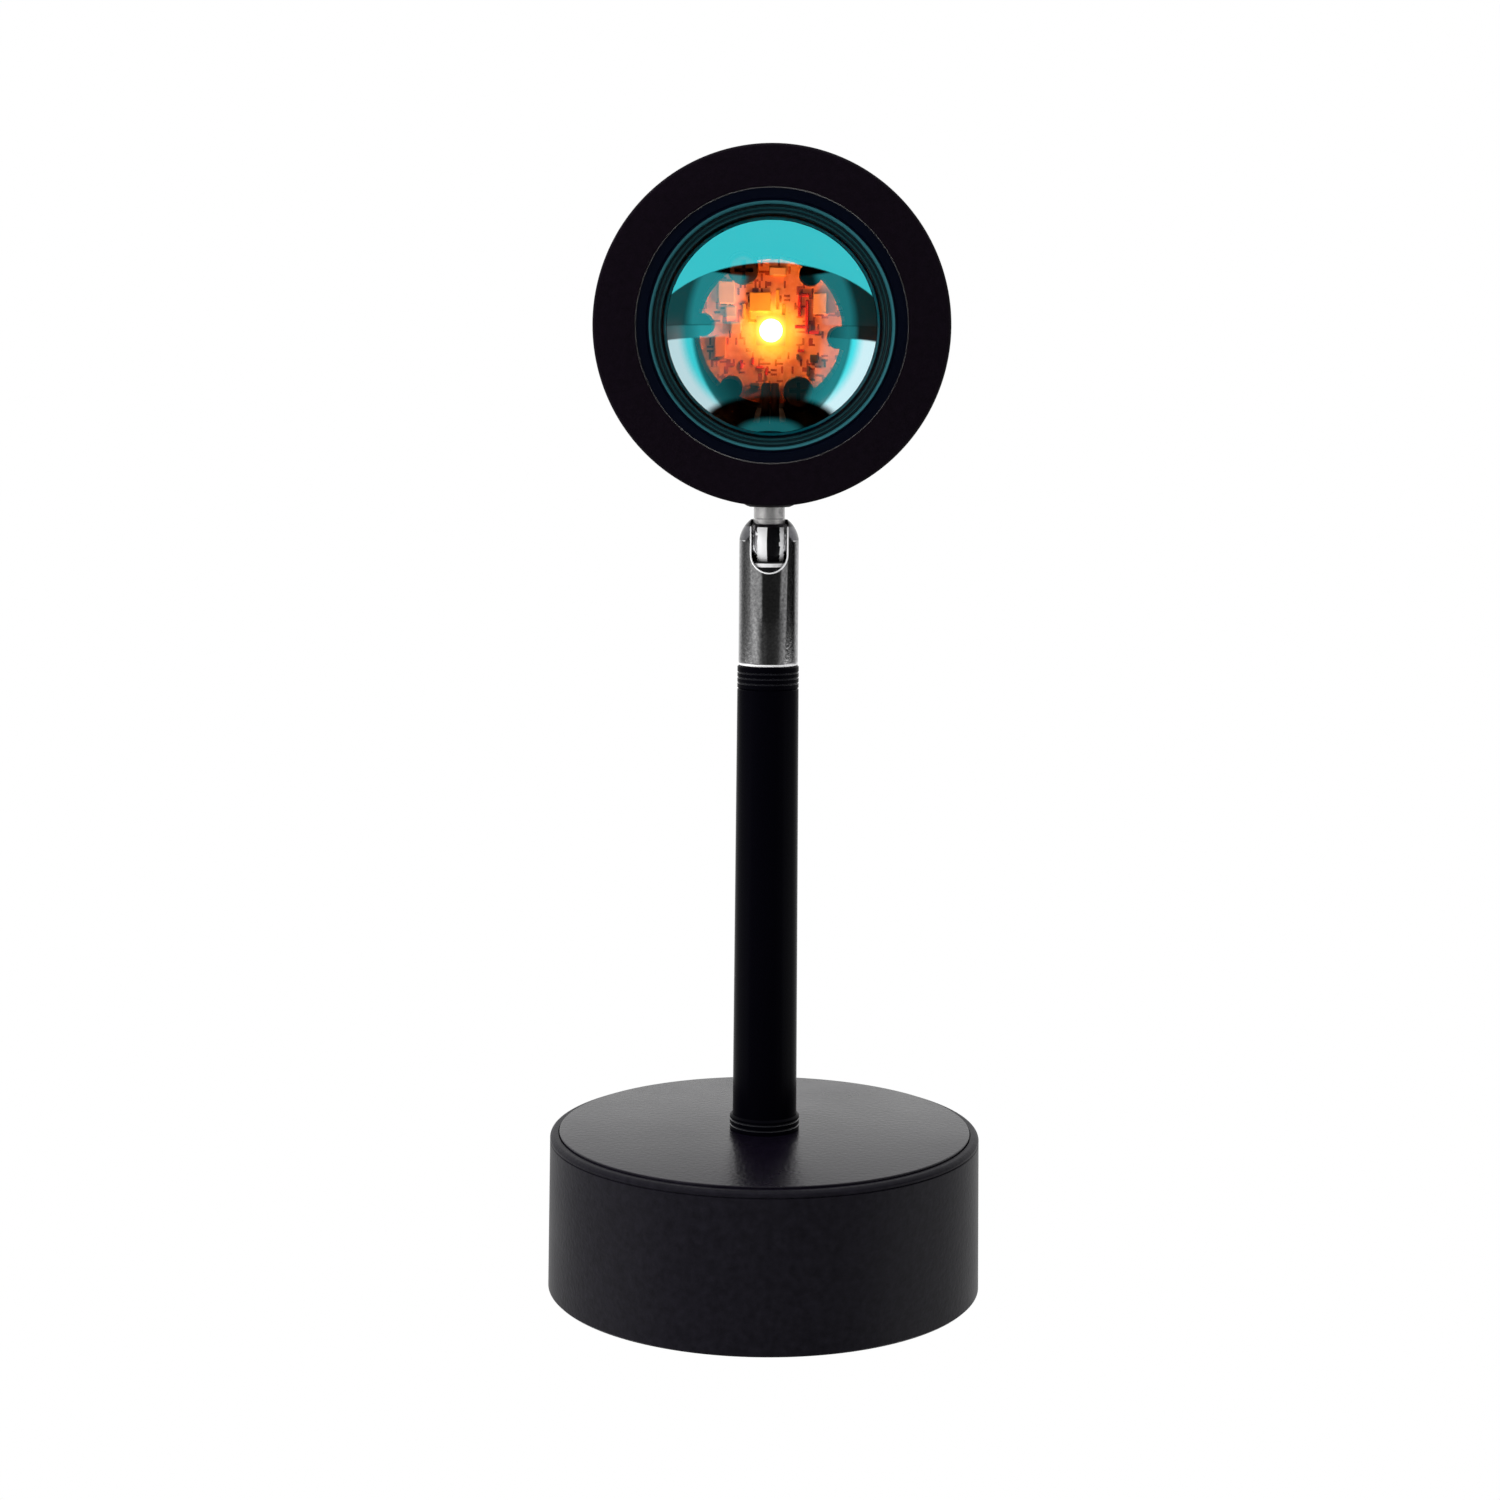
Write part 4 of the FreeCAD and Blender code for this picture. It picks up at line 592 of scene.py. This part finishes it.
# swivel
sleeveValues = dict(radius=7.3, bore=6.28, floor=3.0, studHole=3.55, mouthRadius=4.5, edge=0.35,
                    lineUp=0.72, lineWidth=0.24, lineDepth=0.15,
                    slotHalf=4.48, slotDrop=2.55, slotBevel=0.32, slotFoot=-7.5, slotAhead=0.5, slotAngle=50,
                    brightTop=0.62, brightDeep=0.4,   # the rounded edge below the fine line, with a painted highlight
                    # from how far above the ball's middle: painted shade on the shoulder, a painted dark reflection
                    # on the lip
                    paintedShadeUp=0.9, lipUp=4.2)


def outFromBall(x, y, z):
    # from the ball's middle, or below it from the pole's axis
    return math.hypot(x, y, max(z, 0.0))


def makeSlotCutter():
    v = sleeveValues
    half, over, ahead = v["slotHalf"], v["radius"] + 1, v["radius"] + 2
    shape = arc((0, ball - v["slotDrop"]), half, 180, 360, 40) + [(half, ball + over), (-half, ball + over)]
    work = bmesh.new()
    face = work.faces.new([work.verts.new((x * mm, 0, z * mm)) for x, z in shape])
    moved = bmesh.ops.extrude_face_region(work, geom=[face])["geom"]
    bmesh.ops.translate(work, vec=(0, -ahead * mm, 0),
                        verts=[one for one in moved if isinstance(one, bmesh.types.BMVert)])
    bmesh.ops.recalc_face_normals(work, faces=work.faces)
    return newThing("slotCutter", work)


def makeSleeve():
    v = sleeveValues
    side, bore, edge, stud = v["radius"], v["bore"], v["edge"], v["studHole"]
    bottom = low("swivel_sleeve").z / mm
    outMouth, inMouth = [math.degrees(math.acos(v["mouthRadius"] / radius)) for radius in (side, bore)]
    profile = [(stud, bottom)] + arc((side - edge, bottom + edge), edge, -90, 0, 6)
    profile += groove(side, bottom + v["lineUp"], v["lineWidth"], v["lineDepth"])
    profile += arc((0, ball), side, 0, outMouth, 24) + arc((0, ball), bore, inMouth, 0, 20)
    profile += [(bore, bottom + v["floor"]), (stud, bottom + v["floor"])]
    sleeve = lathe("swivelSleeve", profile)
    carve(sleeve, makeSlotCutter())
    work = bmesh.new()
    work.from_mesh(sleeve.data)
    rim = []
    for one in work.edges:
        x, y, z = (one.verts[0].co + one.verts[1].co) / 2 / mm
        onSlot = -y > v["slotAhead"] and z - ball > v["slotFoot"]
        sharp = one.is_manifold and one.calc_face_angle(0.0) > math.radians(v["slotAngle"])
        if onSlot and sharp and outFromBall(x, y, z - ball) > side - 5 * touch:
            rim.append(one)
    roundOff(work, rim, v["slotBevel"], 3)
    work.to_mesh(sleeve.data)
    work.free()
    sharpen(sleeve.data, 30)
    finish(sleeve, "swivel", "chromePlate chromeEdge chromeSmoke chromeLip", "chrome_trim", "swivel_sleeve")
    # painted light: a painted dark reflection on the lip, painted shade on the shoulder, a painted highlight on the
    # bottom edge
    for face, x, y, z in middles(sleeve, ballZ):
        out = outFromBall(x, y, z)
        if z > v["lipUp"] and out > bore + 5 * touch:
            face.material_index = 3
        elif z > v["paintedShadeUp"] and out > side - 2 * touch:
            face.material_index = 2
        if z + ball < bottom + v["brightTop"] and out > side - v["brightDeep"]:
            face.material_index = 1


rimValues = dict(sunk=0.12, thick=0.20, top=6.6)


def makeSlotRim():
    # lip that follows the slot's edge, in a pale finish: a painted highlight
    v = rimValues
    side, half, drop = sleeveValues["radius"] - v["sunk"], sleeveValues["slotHalf"], sleeveValues["slotDrop"]
    rise = [v["top"] * (i + 1) / 14 - drop for i in range(14)]
    path = [(-half, z) for z in reversed(rise)] + arc((0, -drop), half, 180, 360, 40) + [(half, z) for z in rise]
    curve = bpy.data.curves.new("slotRim", "CURVE")
    curve.dimensions = "3D"
    curve.bevel_depth = v["thick"] * mm
    curve.bevel_resolution = 4
    curve.use_fill_caps = True
    line = curve.splines.new("POLY")
    line.points.add(len(path) - 1)
    for point, (x, z) in zip(line.points, path):
        ahead = math.sqrt(side * side - x * x - max(z, 0.0) ** 2)
        point.co = (x * mm, -ahead * mm, ballZ + z * mm, 1)
    held = bpy.data.objects.new("slotRimCurve", curve)
    bpy.context.scene.collection.objects.link(held)
    mesh = bpy.data.meshes.new_from_object(held.evaluated_get(bpy.context.evaluated_depsgraph_get()))
    bpy.data.objects.remove(held)
    work = bmesh.new()
    work.from_mesh(mesh)
    bpy.data.meshes.remove(mesh)
    bmesh.ops.remove_doubles(work, verts=work.verts, dist=1e-7)
    bmesh.ops.recalc_face_normals(work, faces=work.faces)
    rim = newThing("slotRim", work)
    sharpen(rim.data, 50)
    finish(rim, "swivel", "chromeEdge", "chrome_trim")


seatValues = dict(bore=2.4, radius=6.2, bandLow=5.6, bandHigh=4.7)


def makeBallSeat():
    # the black seat below the ball, with a painted highlight as a bright band under its rim
    v = seatValues
    inner, outer, hollow = v["bore"], v["radius"], sleeveValues["bore"]
    bottom, top = low("ball_seat").z / mm, high("ball_seat").z / mm
    start, stop = -math.degrees(math.acos(inner / hollow)), -math.degrees(math.asin((ball - top) / hollow))
    profile = [(inner, bottom), (outer, bottom), (outer, ball - v["bandLow"]), (outer, ball - v["bandHigh"]),
               (outer, top)] + arc((0, ball), hollow, start, stop, 16)[::-1]
    seat = lathe("ballSeat", profile, steps=128)
    finish(seat, "swivel", "acetalBlack chromeEdge", "seat_acetal", "ball_seat")
    for face, x, y, z in middles(seat, ballZ):
        if math.hypot(x, y) > outer - touch and -v["bandLow"] < z < -v["bandHigh"]:
            face.material_index = 1


neckValues = dict(ballRadius=6.2, ballFlat=5.7, radius=3.8, bore=1.7, threadRadius=3.4, threadEdge=0.4,
                  collarRadius=3.95, collarLow=4.9, collarHigh=6.1, collarEdge=0.2,
                  # painted reflections on the ball: pale and dark uprights, between these heights
                  stripesLow=-4.2, stripesHigh=4.0, paintedPaleStripes=((-2.9, -0.5), (2.5, 3.5)), paintedDarkStripe=(-0.5, 2.5))


def makeBallNeck():
    v = neckValues
    side, collar, edge, thread = v["radius"], v["collarRadius"], v["collarEdge"], v["threadRadius"]
    under, over = ball + v["collarLow"], ball + v["collarHigh"]
    boss, top = low("neck_boss").z / mm, high("ball_neck").z / mm
    start = math.degrees(math.asin(-v["ballFlat"] / v["ballRadius"]))
    stop = math.degrees(math.acos(side / v["ballRadius"]))
    profile = [(v["bore"], ball - v["ballFlat"])] + arc((0, ball), v["ballRadius"], start, stop, 40)
    profile += [(side, under), (collar, under + edge), (collar, over - edge), (side, over), (side, boss),
                (thread, boss), (thread, top - v["threadEdge"]), (thread - v["threadEdge"], top), (v["bore"], top)]
    neck = lathe("ballNeck", profile, steps=128)
    finish(neck, "neck", "chromeBright nickelSatin chromeEdge chromeLip", "chrome_trim", "ball_neck")
    for face, x, y, z in middles(neck, ballZ):
        if z > v["collarLow"]:
            face.material_index = 1
        # painted reflections: pale and dark stripes on the ball's front
        elif y < 0 and v["stripesLow"] < z < v["stripesHigh"]:
            if any(left < x < right for left, right in v["paintedPaleStripes"]):
                face.material_index = 2
            elif v["paintedDarkStripe"][0] < x < v["paintedDarkStripe"][1]:
                face.material_index = 3


makeSleeve()
makeSlotRim()
makeBallSeat()
makeBallNeck()
print("swivel made")

# head: heights count from the neck's axis towards the front
bezelValues = dict(radius=41.1, front=35.0, rear=23.0, round=0.8, spigot=17.0, spigotRadius=37.65, ringBore=31.45,
                   lensBore=29.3, ledgeInner=26.5, ledgeFront=29.9, ledgeRear=27.9, wallRadius=35.5)
ringValues = dict(outer=31.4, inner=27.5, front=34.6, skirt=2.0, line=28.7, lineHalf=0.2, edge=0.25, lip=0.7)
lensValues = dict(radius=29.1, front=33.3, rear=30.5, edge=0.3, domeRadius=25.4, domeCurve=35.68, rearRadius=26.2,
                  rearCurve=120.0, rimLines=(26.7, 25.8), lineHalf=0.2, lineDepth=0.12, coatedDepth=0.2)


def makeBezel():
    v = bezelValues
    side, turn, seat = v["radius"], v["round"], lensValues["front"] - ringValues["skirt"]
    profile = [(v["ringBore"], v["front"]), (v["ringBore"], seat), (v["lensBore"], seat),
               (v["lensBore"], v["ledgeFront"]), (v["ledgeInner"], v["ledgeFront"]),
               (v["ledgeInner"], v["ledgeRear"]), (v["wallRadius"], v["ledgeRear"]),
               (v["wallRadius"], v["spigot"]), (v["spigotRadius"], v["spigot"]), (v["spigotRadius"], v["rear"])]
    profile += arc((side - turn, v["rear"] + turn), turn, -90, 0, 5)
    profile += arc((side - turn, v["front"] - turn), turn, 0, 90, 5)
    bezel = lathe("frontBezel", profile, steps=192, place=onHead)
    finish(bezel, "head", "powderCoat", "head_black", "front_bezel")


def makeRetainingRing():
    v = ringValues
    outer, front, edge, line, half, lip = [v[name] for name in ("outer", "front", "edge", "line", "lineHalf", "lip")]
    lens, bore = lensValues["front"], bezelValues["lensBore"]
    profile = [(v["inner"], lens), (bore, lens), (bore, lens - v["skirt"]), (outer, lens - v["skirt"]),
               (outer, front - edge), (outer - edge, front), (line + half, front), (line, front - edge),
               (line - half, front)] + arc((v["inner"] + lip, front - lip), lip, 90, 180, 6)
    ring = lathe("lensRing", profile, steps=192, place=onHead)
    finish(ring, "head", "ringAnodised ringLip nickelSatin", "ring_black", "lens_retaining_ring")
    for face, x, y, z in middles(ring, headZ):
        away, ahead = math.hypot(x, z), -y
        if away < v["inner"] + lip - 2 * touch and ahead > front - lip + touch:
            face.material_index = 1
        if away > outer - edge + touch and ahead > front - edge + touch:
            face.material_index = 2


def makeLens():
    v = lensValues
    side, front, back, half, edge = v["radius"], v["front"], v["rear"], v["lineHalf"], v["edge"]
    tilt = math.degrees(math.asin(v["domeRadius"] / v["domeCurve"]))
    dome = arc((0, front - v["domeCurve"] * math.cos(math.radians(tilt))), v["domeCurve"], 90 - tilt, 90, 40)
    lean = math.degrees(math.asin(v["rearRadius"] / v["rearCurve"]))
    rear = arc((0, back + v["rearCurve"] * math.cos(math.radians(lean))), v["rearCurve"], -90, -90 + lean, 24)
    profile = [(0, rear[0][1])] + rear[1:] + [(side - edge, back), (side, back + edge), (side, front)]
    for line in v["rimLines"]:
        profile += [(line + half, front), (line, front - v["lineDepth"]), (line - half, front)]
    profile += dome[:-1] + [(0, dome[-1][1])]
    lens = lathe("frontLens", profile, steps=192, closed=False, place=onHead, crisp=20.0)
    finish(lens, "head", "lensCoated lensClear lensRim rimLine", "lens_glass", "lens")
    for face, x, y, z in middles(lens, headZ):
        away, sunk = math.hypot(x, z), y + front
        if sunk >= v["coatedDepth"]:
            face.material_index = 1
        elif away > v["domeRadius"]:
            face.material_index = 2
        if v["domeRadius"] < away < ringValues["inner"] and abs(sunk) > touch:
            face.material_index = 3


# flat parts on the LED board: beside and above the lens axis, width, height, thickness
boardPartValues = dict(
    chipAmber=[(-7.3, -2.2, 1.6, 3.0, 0.5)],
    chipPale=[(-6.4, 5.4, 2.3, 3.2, 0.5), (-5.8, 2.7, 1.5, 1.6, 0.6), (-5.1, 0.4, 1.5, 1.6, 0.6),
              (7.0, 3.9, 1.9, 3.0, 0.5), (0.9, 8.4, 2.3, 1.1, 0.4)],
    chipRed=[(4.1, 3.6, 0.5, 3.2, 0.5), (5.2, 2.0, 0.5, 4.8, 0.5), (4.7, 5.1, 1.6, 0.5, 0.4),
             (4.2, 0.6, 1.5, 0.5, 0.4), (6.2, -0.2, 1.5, 0.5, 0.4), (-1.6, -5.2, 1.0, 0.4, 0.3),
             (-0.6, -5.8, 0.4, 1.0, 0.3), (-2.6, -4.3, 0.4, 1.0, 0.3), (4.3, -2.8, 0.9, 0.4, 0.35),
             (-4.2, -4.8, 0.4, 1.2, 0.3)],
    chipYellow=[(-1.6, 4.1, 3.0, 2.7, 0.4), (-3.9, 2.7, 0.4, 2.2, 0.25), (-3.1, 2.0, 0.4, 1.6, 0.25),
                (-2.5, 1.4, 1.0, 0.4, 0.25), (0.9, 4.4, 0.5, 2.8, 0.25), (1.8, 3.0, 0.5, 1.6, 0.25),
                (-2.8, 7.8, 1.3, 1.0, 0.3)],
    mouldedParts=[(3.9, -3.7, 0.4, 0.8, 0.35), (6.2, -3.9, 1.1, 1.1, 0.5), (-2.2, -7.6, 1.2, 0.5, 0.35),
                  (-0.4, -8.2, 0.5, 1.0, 0.35), (5.4, -5.6, 0.5, 1.3, 0.35)])
cornerValues = dict(share=0.22, upTo=0.5)             # share of the thickness, counted up to this thickness


def makeBoardParts():
    work = bmesh.new()
    board = low("led_board").y
    for index, rows in enumerate(boardPartValues.values()):
        for aside, above, wide, tall, thick in rows:
            place = (aside * mm, board - thick / 2 * mm, headZ + above * mm)
            corner = min(thick, cornerValues["upTo"]) * cornerValues["share"]
            one = roundedBlock(wide, thick, tall, corner, 2, place)
            for face in one.faces:
                face.material_index = index
            addTo(work, one)
    finish(newThing("boardParts", work), "head", " ".join(boardPartValues), "chip_ceramic", "board_chips")


emitterValues = dict(side=4.2, height=0.7, dome=1.7, domeSunk=0.05, corner=0.15)


def makeEmitter():
    # yellow package with its clear dome, lit
    v = emitterValues
    board, height = low("led_board").y, v["height"]
    work = roundedBlock(v["side"], height, v["side"], v["corner"], 3, (0, board - height / 2 * mm, headZ))
    dome = bmesh.new()
    bmesh.ops.create_uvsphere(dome, u_segments=48, v_segments=32, radius=v["dome"] * mm)
    bmesh.ops.rotate(dome, cent=(0, 0, 0), matrix=turned(90, "X").to_3x3(), verts=dome.verts)
    bmesh.ops.translate(dome, vec=(0, board - height * mm, headZ), verts=dome.verts)
    cut = bmesh.ops.bisect_plane(dome, geom=dome.verts[:] + dome.edges[:] + dome.faces[:], dist=1e-7,
                                 plane_co=(0, board - (height - v["domeSunk"]) * mm, headZ),
                                 plane_no=(0, 1, 0), clear_outer=True)["geom_cut"]
    bmesh.ops.contextual_create(dome, geom=[one for one in cut if isinstance(one, bmesh.types.BMEdge)])
    bmesh.ops.recalc_face_normals(dome, faces=dome.faces)
    for face in dome.faces:
        face.material_index = 1
    addTo(work, dome)
    emitter = newThing("ledEmitter", work)
    sharpen(emitter.data, 40)
    finish(emitter, "head", "ledPhosphor ledHot", "led_resin", "led_emitter")


bossValues = dict(radius=6.6, lowRadius=4.9, round=1.6, roundUp=0.15, bore=3.45,
                  # the housing's cone, which cuts the boss's top off
                  coneRear=-21.5, coneRearRadius=38.38, coneFront=23.0, coneFrontRadius=39.48)


def makeBoss():
    v = bossValues
    bottom, top, turn = low("neck_boss").z / mm, high("neck_boss").z / mm, v["round"]
    profile = [(v["bore"], bottom), (v["lowRadius"], bottom)]
    profile += arc((v["radius"] - turn, bottom + turn + v["roundUp"]), turn, -70, 0, 8)
    profile += [(v["radius"], top), (v["bore"], top)]
    boss = lathe("neckBoss", profile, steps=96)
    cone = [(0, v["coneRear"]), (v["coneRearRadius"], v["coneRear"]), (v["coneFrontRadius"], v["coneFront"]),
            (0, v["coneFront"])]
    carve(boss, lathe("bossCutter", cone, steps=256, closed=False, place=onHead))
    sharpen(boss.data, 30)
    finish(boss, "head", "powderCoat", "head_black", "neck_boss")


# shares of the head's radius
screwValues = dict(headThick=0.55, headRound=0.2, shankRadius=0.5, crossWide=0.27, crossReach=0.62, crossDeep=0.3)


def makeScrews(name, part, body, look, head, length, places):
    # pan heads with a cross recess, one turned to each place's +Z
    v = {share: value * head for share, value in screwValues.items()}
    shank, under, turn, deep = v["shankRadius"], -v["headThick"], v["headRound"], v["crossDeep"]
    profile = [(0, -length), (shank, -length), (shank, under), (head, under)]
    profile += arc((head - turn, -turn), turn, 0, 90, 5) + [(0, 0)]
    screws = lathe(name, profile, steps=48, closed=False)
    wide, long = v["crossWide"], 2 * v["crossReach"]
    carve(screws, slab("crossCutter", long, wide, 2 * deep), slab("crossCutter", wide, long, 2 * deep))
    for face, x, y, z in middles(screws):             # painted shade: the recess faces are dark and matt
        inCross = math.hypot(x, y) < v["crossReach"] + touch and 2 * touch < -z < deep + touch
        face.material_index = 1 if inCross else 0
    work = bmesh.new()
    for place in places:
        placed = screws.data.copy()
        placed.transform(place)
        work.from_mesh(placed)
        bpy.data.meshes.remove(placed)
    work.to_mesh(screws.data)
    work.free()
    sharpen(screws.data, 30)
    finish(screws, body, look + " screwRecess", "zinc_steel", part)


def threeRound(reach, aside, place):
    # the heads' radius and three places on a circle, from how far the heads go from its middle
    circle = (reach - aside) / (1 - math.cos(math.radians(30)))
    spots = [Matrix.Translation((x * mm, y * mm, 0)) for x, y in arc((0, 0), circle, 90, 330, 2)]
    return reach - circle, [place @ spot for spot in spots]


def makeBoardScrews():
    face, rear = low("board_screws").y, high("board_screws").y
    corners = [corner.co for corner in frame["nodes"]["board_screws"].data.vertices]
    places = []
    for above in (True, False):
        one = [co for co in corners if (co.z > headZ) == above]
        left, right = min(co.x for co in one), max(co.x for co in one)
        under, over = min(co.z for co in one), max(co.z for co in one)
        places.append(Matrix.Translation(((left + right) / 2, face, (under + over) / 2)) @ turned(90, "X"))
    makeScrews("boardScrews", "board_screws", "head", "screwDark", (right - left) / 2 / mm, (rear - face) / mm,
               places)


def makeCoverScrews():
    start, stop = low("rear_cover_screws"), high("rear_cover_screws")
    # heads to the rear, the first screw at the top
    onRear = Matrix.Translation((0, stop.y, headZ)) @ turned(180, "Z") @ turned(90, "X")
    head, places = threeRound((stop.z - headZ) / mm, stop.x / mm, onRear)
    makeScrews("rearCoverScrews", "rear_cover_screws", "head", "zincPlate", head, (stop.y - start.y) / mm, places)
    start, stop = low("cover_screws"), high("cover_screws")
    # heads down, the first screw towards the front
    underBase = Matrix.Translation((0, 0, start.z)) @ turned(180, "X")
    head, places = threeRound(-start.y / mm, stop.x / mm, underBase)
    makeScrews("baseCoverScrews", "cover_screws", "root", "zincPlate", head, (stop.z - start.z) / mm, places)


makeBoardScrews()
makeCoverScrews()
makeBezel()
makeRetainingRing()
makeEmitter()
makeBoss()
makeLens()
makeBoardParts()
print("head made")

# nodes that keep the frame's own shape
nodeFinish = dict(
    baffleBlack="bottom_cover light_baffle", rubberBlack="anti_slip_pad cord_grommet lens_gasket",
    zincPlate="driver_screws threaded_nipple base_washer base_nut swivel_stud friction_washer disc_springs "
              "neck_washer neck_nut",
    ballastIron="ballast_weight", boardLaminate="driver_board", mouldedParts="driver_components",
    nylonNatural="driver_plug", finAluminium="heat_sink", starMask="led_board", padSilicone="thermal_pad",
    leadDark="pole_lead neck_lead head_lead", powderCoat="head_housing rear_cover")
for look, parts in nodeFinish.items():
    for part in parts.split():
        dress(frame["nodes"][part], look)

# studio
skyValues = dict(
    room=0.45,                                        # plain light for matt surfaces
    edge=0.012, soft=0.03,                            # how softly the lights below end
    lean=(0.585, 0.811), upperEdge=0.235, upperLight=1.0,   # above a line that leans back
    # light at eye level, between these heights: degrees from the camera's side, light
    bandLow=-0.10, bandHigh=0.02,
    round=[(-180, 0.9), (-155, 0.7), (-140, 0.45), (-122, 0.13), (-107, 0.09), (-95, 0.12), (-84, 0.17),
           (-74, 0.25), (-64, 0.37), (-55, 0.56), (-46, 0.56), (-38, 0.34), (-30, 0.14), (-22, 0.05),
           (-14, 0.06), (-3, 0.03), (4, 0.03), (10, 0.03), (18, 0.03), (34, 0.05), (42, 0.10), (51, 0.20),
           (60, 0.32), (66, 0.26), (70, 0.02), (112, 0.005), (120, 0.10), (130, 0.42), (155, 0.70), (180, 0.9)],
    # two softboxes, above eye level
    softHigh=0.60,
    softRound=[(-180, 0.1), (-96, 0.10), (-70, 0.10), (-62, 0.40), (-28, 0.40), (-20, 0.02), (0, 0.015),
               (36, 0.02), (44, 0.30), (62, 0.30), (70, 0.04), (86, 0.03), (180, 0.05)],
    # pale table at both sides, below eye level
    floorTop=-0.105, floorLow=-0.79,
    floorRound=[(-180, 0.9), (-106, 0.9), (-100, 1.1), (-64, 1.1), (-61, 0.22), (-56, 0.16), (-40, 0.09),
                (0, 0.015), (36, 0.02), (44, 0.30), (60, 0.42), (62, 0.36), (65, 1.4), (100, 1.4), (106, 0.9),
                (180, 0.9)],
    nadir=-0.955, nadirSoft=0.02, nadirLight=0.20)    # straight below the lamp


def roundRamp(tree, turn, wanted):
    ramp = node(tree, "ShaderNodeValToRGB", {"Fac": turn})
    stops = ramp.color_ramp.elements
    while len(stops) < len(wanted):
        stops.new(0.5)
    for stop, (degrees, light) in zip(stops, wanted):
        stop.position = degrees / 360 + 0.5
    for stop, (degrees, light) in zip(stops, wanted):
        stop.color = (light, light, light, 1)
    return ramp.outputs["Color"]


def makeWorld():
    v = skyValues
    edge, soft = v["edge"], v["soft"]
    world = bpy.data.worlds.new("studio")
    bpy.context.scene.world = world
    world.use_nodes = True
    tree = world.node_tree
    tree.nodes.clear()
    x, y, z = axes(tree, node(tree, "ShaderNodeTexCoord").outputs["Generated"])
    angle = maths(tree, "ARCTAN2", x, maths(tree, "MULTIPLY", y, -1.0))
    turn = maths(tree, "ADD", maths(tree, "DIVIDE", angle, math.tau), 0.5)
    rise = maths(tree, "ADD", product(tree, y, v["lean"][0]), product(tree, z, v["lean"][1]))
    aboveBand = mapRange(tree, z, v["bandHigh"], v["bandHigh"] + soft)
    lights = [
        product(tree, roundRamp(tree, turn, v["round"]), mapRange(tree, z, v["bandLow"] - soft, v["bandLow"]),
                mapRange(tree, z, v["bandHigh"] + soft, v["bandHigh"])),
        product(tree, roundRamp(tree, turn, v["softRound"]), aboveBand,
                mapRange(tree, z, v["softHigh"] + soft, v["softHigh"])),
        product(tree, roundRamp(tree, turn, v["floorRound"]),
                mapRange(tree, z, v["floorTop"] + edge, v["floorTop"] - edge),
                mapRange(tree, z, v["floorLow"] - soft, v["floorLow"] + soft)),
        product(tree, mapRange(tree, z, v["nadir"] + v["nadirSoft"], v["nadir"] - v["nadirSoft"]), v["nadirLight"]),
        product(tree, mapRange(tree, rise, v["upperEdge"] - edge, v["upperEdge"] + edge), aboveBand,
                v["upperLight"])]
    level = lights[0]
    for light in lights[1:]:
        level = maths(tree, "MAXIMUM", level, light)
    studio, plain, white = [
        node(tree, "ShaderNodeBackground", {"Color": (1, 1, 1, 1), "Strength": strength}).outputs[0]
        for strength in (level, v["room"], 1.0)]
    path = node(tree, "ShaderNodeLightPath").outputs
    mirrored = maths(tree, "MAXIMUM", path["Is Glossy Ray"], path["Is Transmission Ray"])
    seen = mixShaders(tree, path["Is Camera Ray"], mixShaders(tree, mirrored, plain, studio), white)
    feed(tree, seen, node(tree, "ShaderNodeOutputWorld").inputs["Surface"])


def makeFloor():
    work = bmesh.new()
    bmesh.ops.create_grid(work, x_segments=1, y_segments=1, size=4.0)
    floor = newThing("floor", work)
    tree, surface = newMaterial("floorPale")
    matt = node(tree, "ShaderNodeBsdfDiffuse", {"Color": (0.9, 0.9, 0.9, 1)}).outputs[0]
    glow = node(tree, "ShaderNodeEmission", {"Strength": 1.0}).outputs[0]
    shown = mixShaders(tree, node(tree, "ShaderNodeLightPath").outputs["Is Camera Ray"], matt, glow)
    clear = node(tree, "ShaderNodeBsdfTransparent").outputs[0]
    below = node(tree, "ShaderNodeNewGeometry").outputs["Backfacing"]
    feed(tree, mixShaders(tree, below, shown, clear), surface)   # from below, it hides nothing
    dress(floor, "floorPale")
    floor.visible_glossy = False


# place, size, power
lightValues = dict(keyLeft=((-1.0, -0.6, 0.6), 0.7, 16.0), fillRight=((0.9, -0.6, 0.7), 0.6, 2.0),
                   topSoft=((0.0, 0.1, 1.3), 0.9, 8.0))
lightAim = (0, 0, 0.15)
# the light of the die, on its own board
ledLight = dict(ahead=16.9, power=0.018, size=0.0010, colour=(1.0, 0.44, 0.10))


def newLight(name, kind, place, power):
    lamp = bpy.data.lights.new(name, kind)
    lamp.energy = power
    thing = bpy.data.objects.new(name, lamp)
    thing.location = place
    thing.visible_glossy = False
    bpy.context.scene.collection.objects.link(thing)
    return lamp, thing


def makeLights():
    for name, (place, size, power) in lightValues.items():
        lamp, thing = newLight(name, "AREA", place, power)
        lamp.size = size
        thing.rotation_euler = (Vector(lightAim) - Vector(place)).to_track_quat("-Z", "Y").to_euler()
    v = ledLight
    lamp, thing = newLight("ledLight", "POINT", (0, -v["ahead"] * mm, headZ), v["power"])
    lamp.shadow_soft_size = v["size"]
    lamp.color = v["colour"]
    thing.visible_transmission = False


cameraValues = dict(place=(-0.0043, -0.640, 0.2175), pitch=7.19, roll=0.42, lens=62.74, sensor=36.0, near=0.05)


def makeCamera():
    v = cameraValues
    data = bpy.data.cameras.new("camera")
    data.lens = v["lens"]
    data.sensor_width = v["sensor"]
    data.clip_start = v["near"]
    camera = bpy.data.objects.new("camera", data)
    look = Euler((math.radians(90 - v["pitch"]), 0, 0)).to_matrix().to_4x4()
    camera.matrix_world = Matrix.Translation(v["place"]) @ look @ turned(v["roll"], "Z")
    bpy.context.scene.collection.objects.link(camera)
    bpy.context.scene.camera = camera


makeWorld()
makeFloor()
makeLights()
makeCamera()
bpy.context.scene.view_settings.view_transform = "Standard"
print("studio made")

bpy.context.view_layer.update()
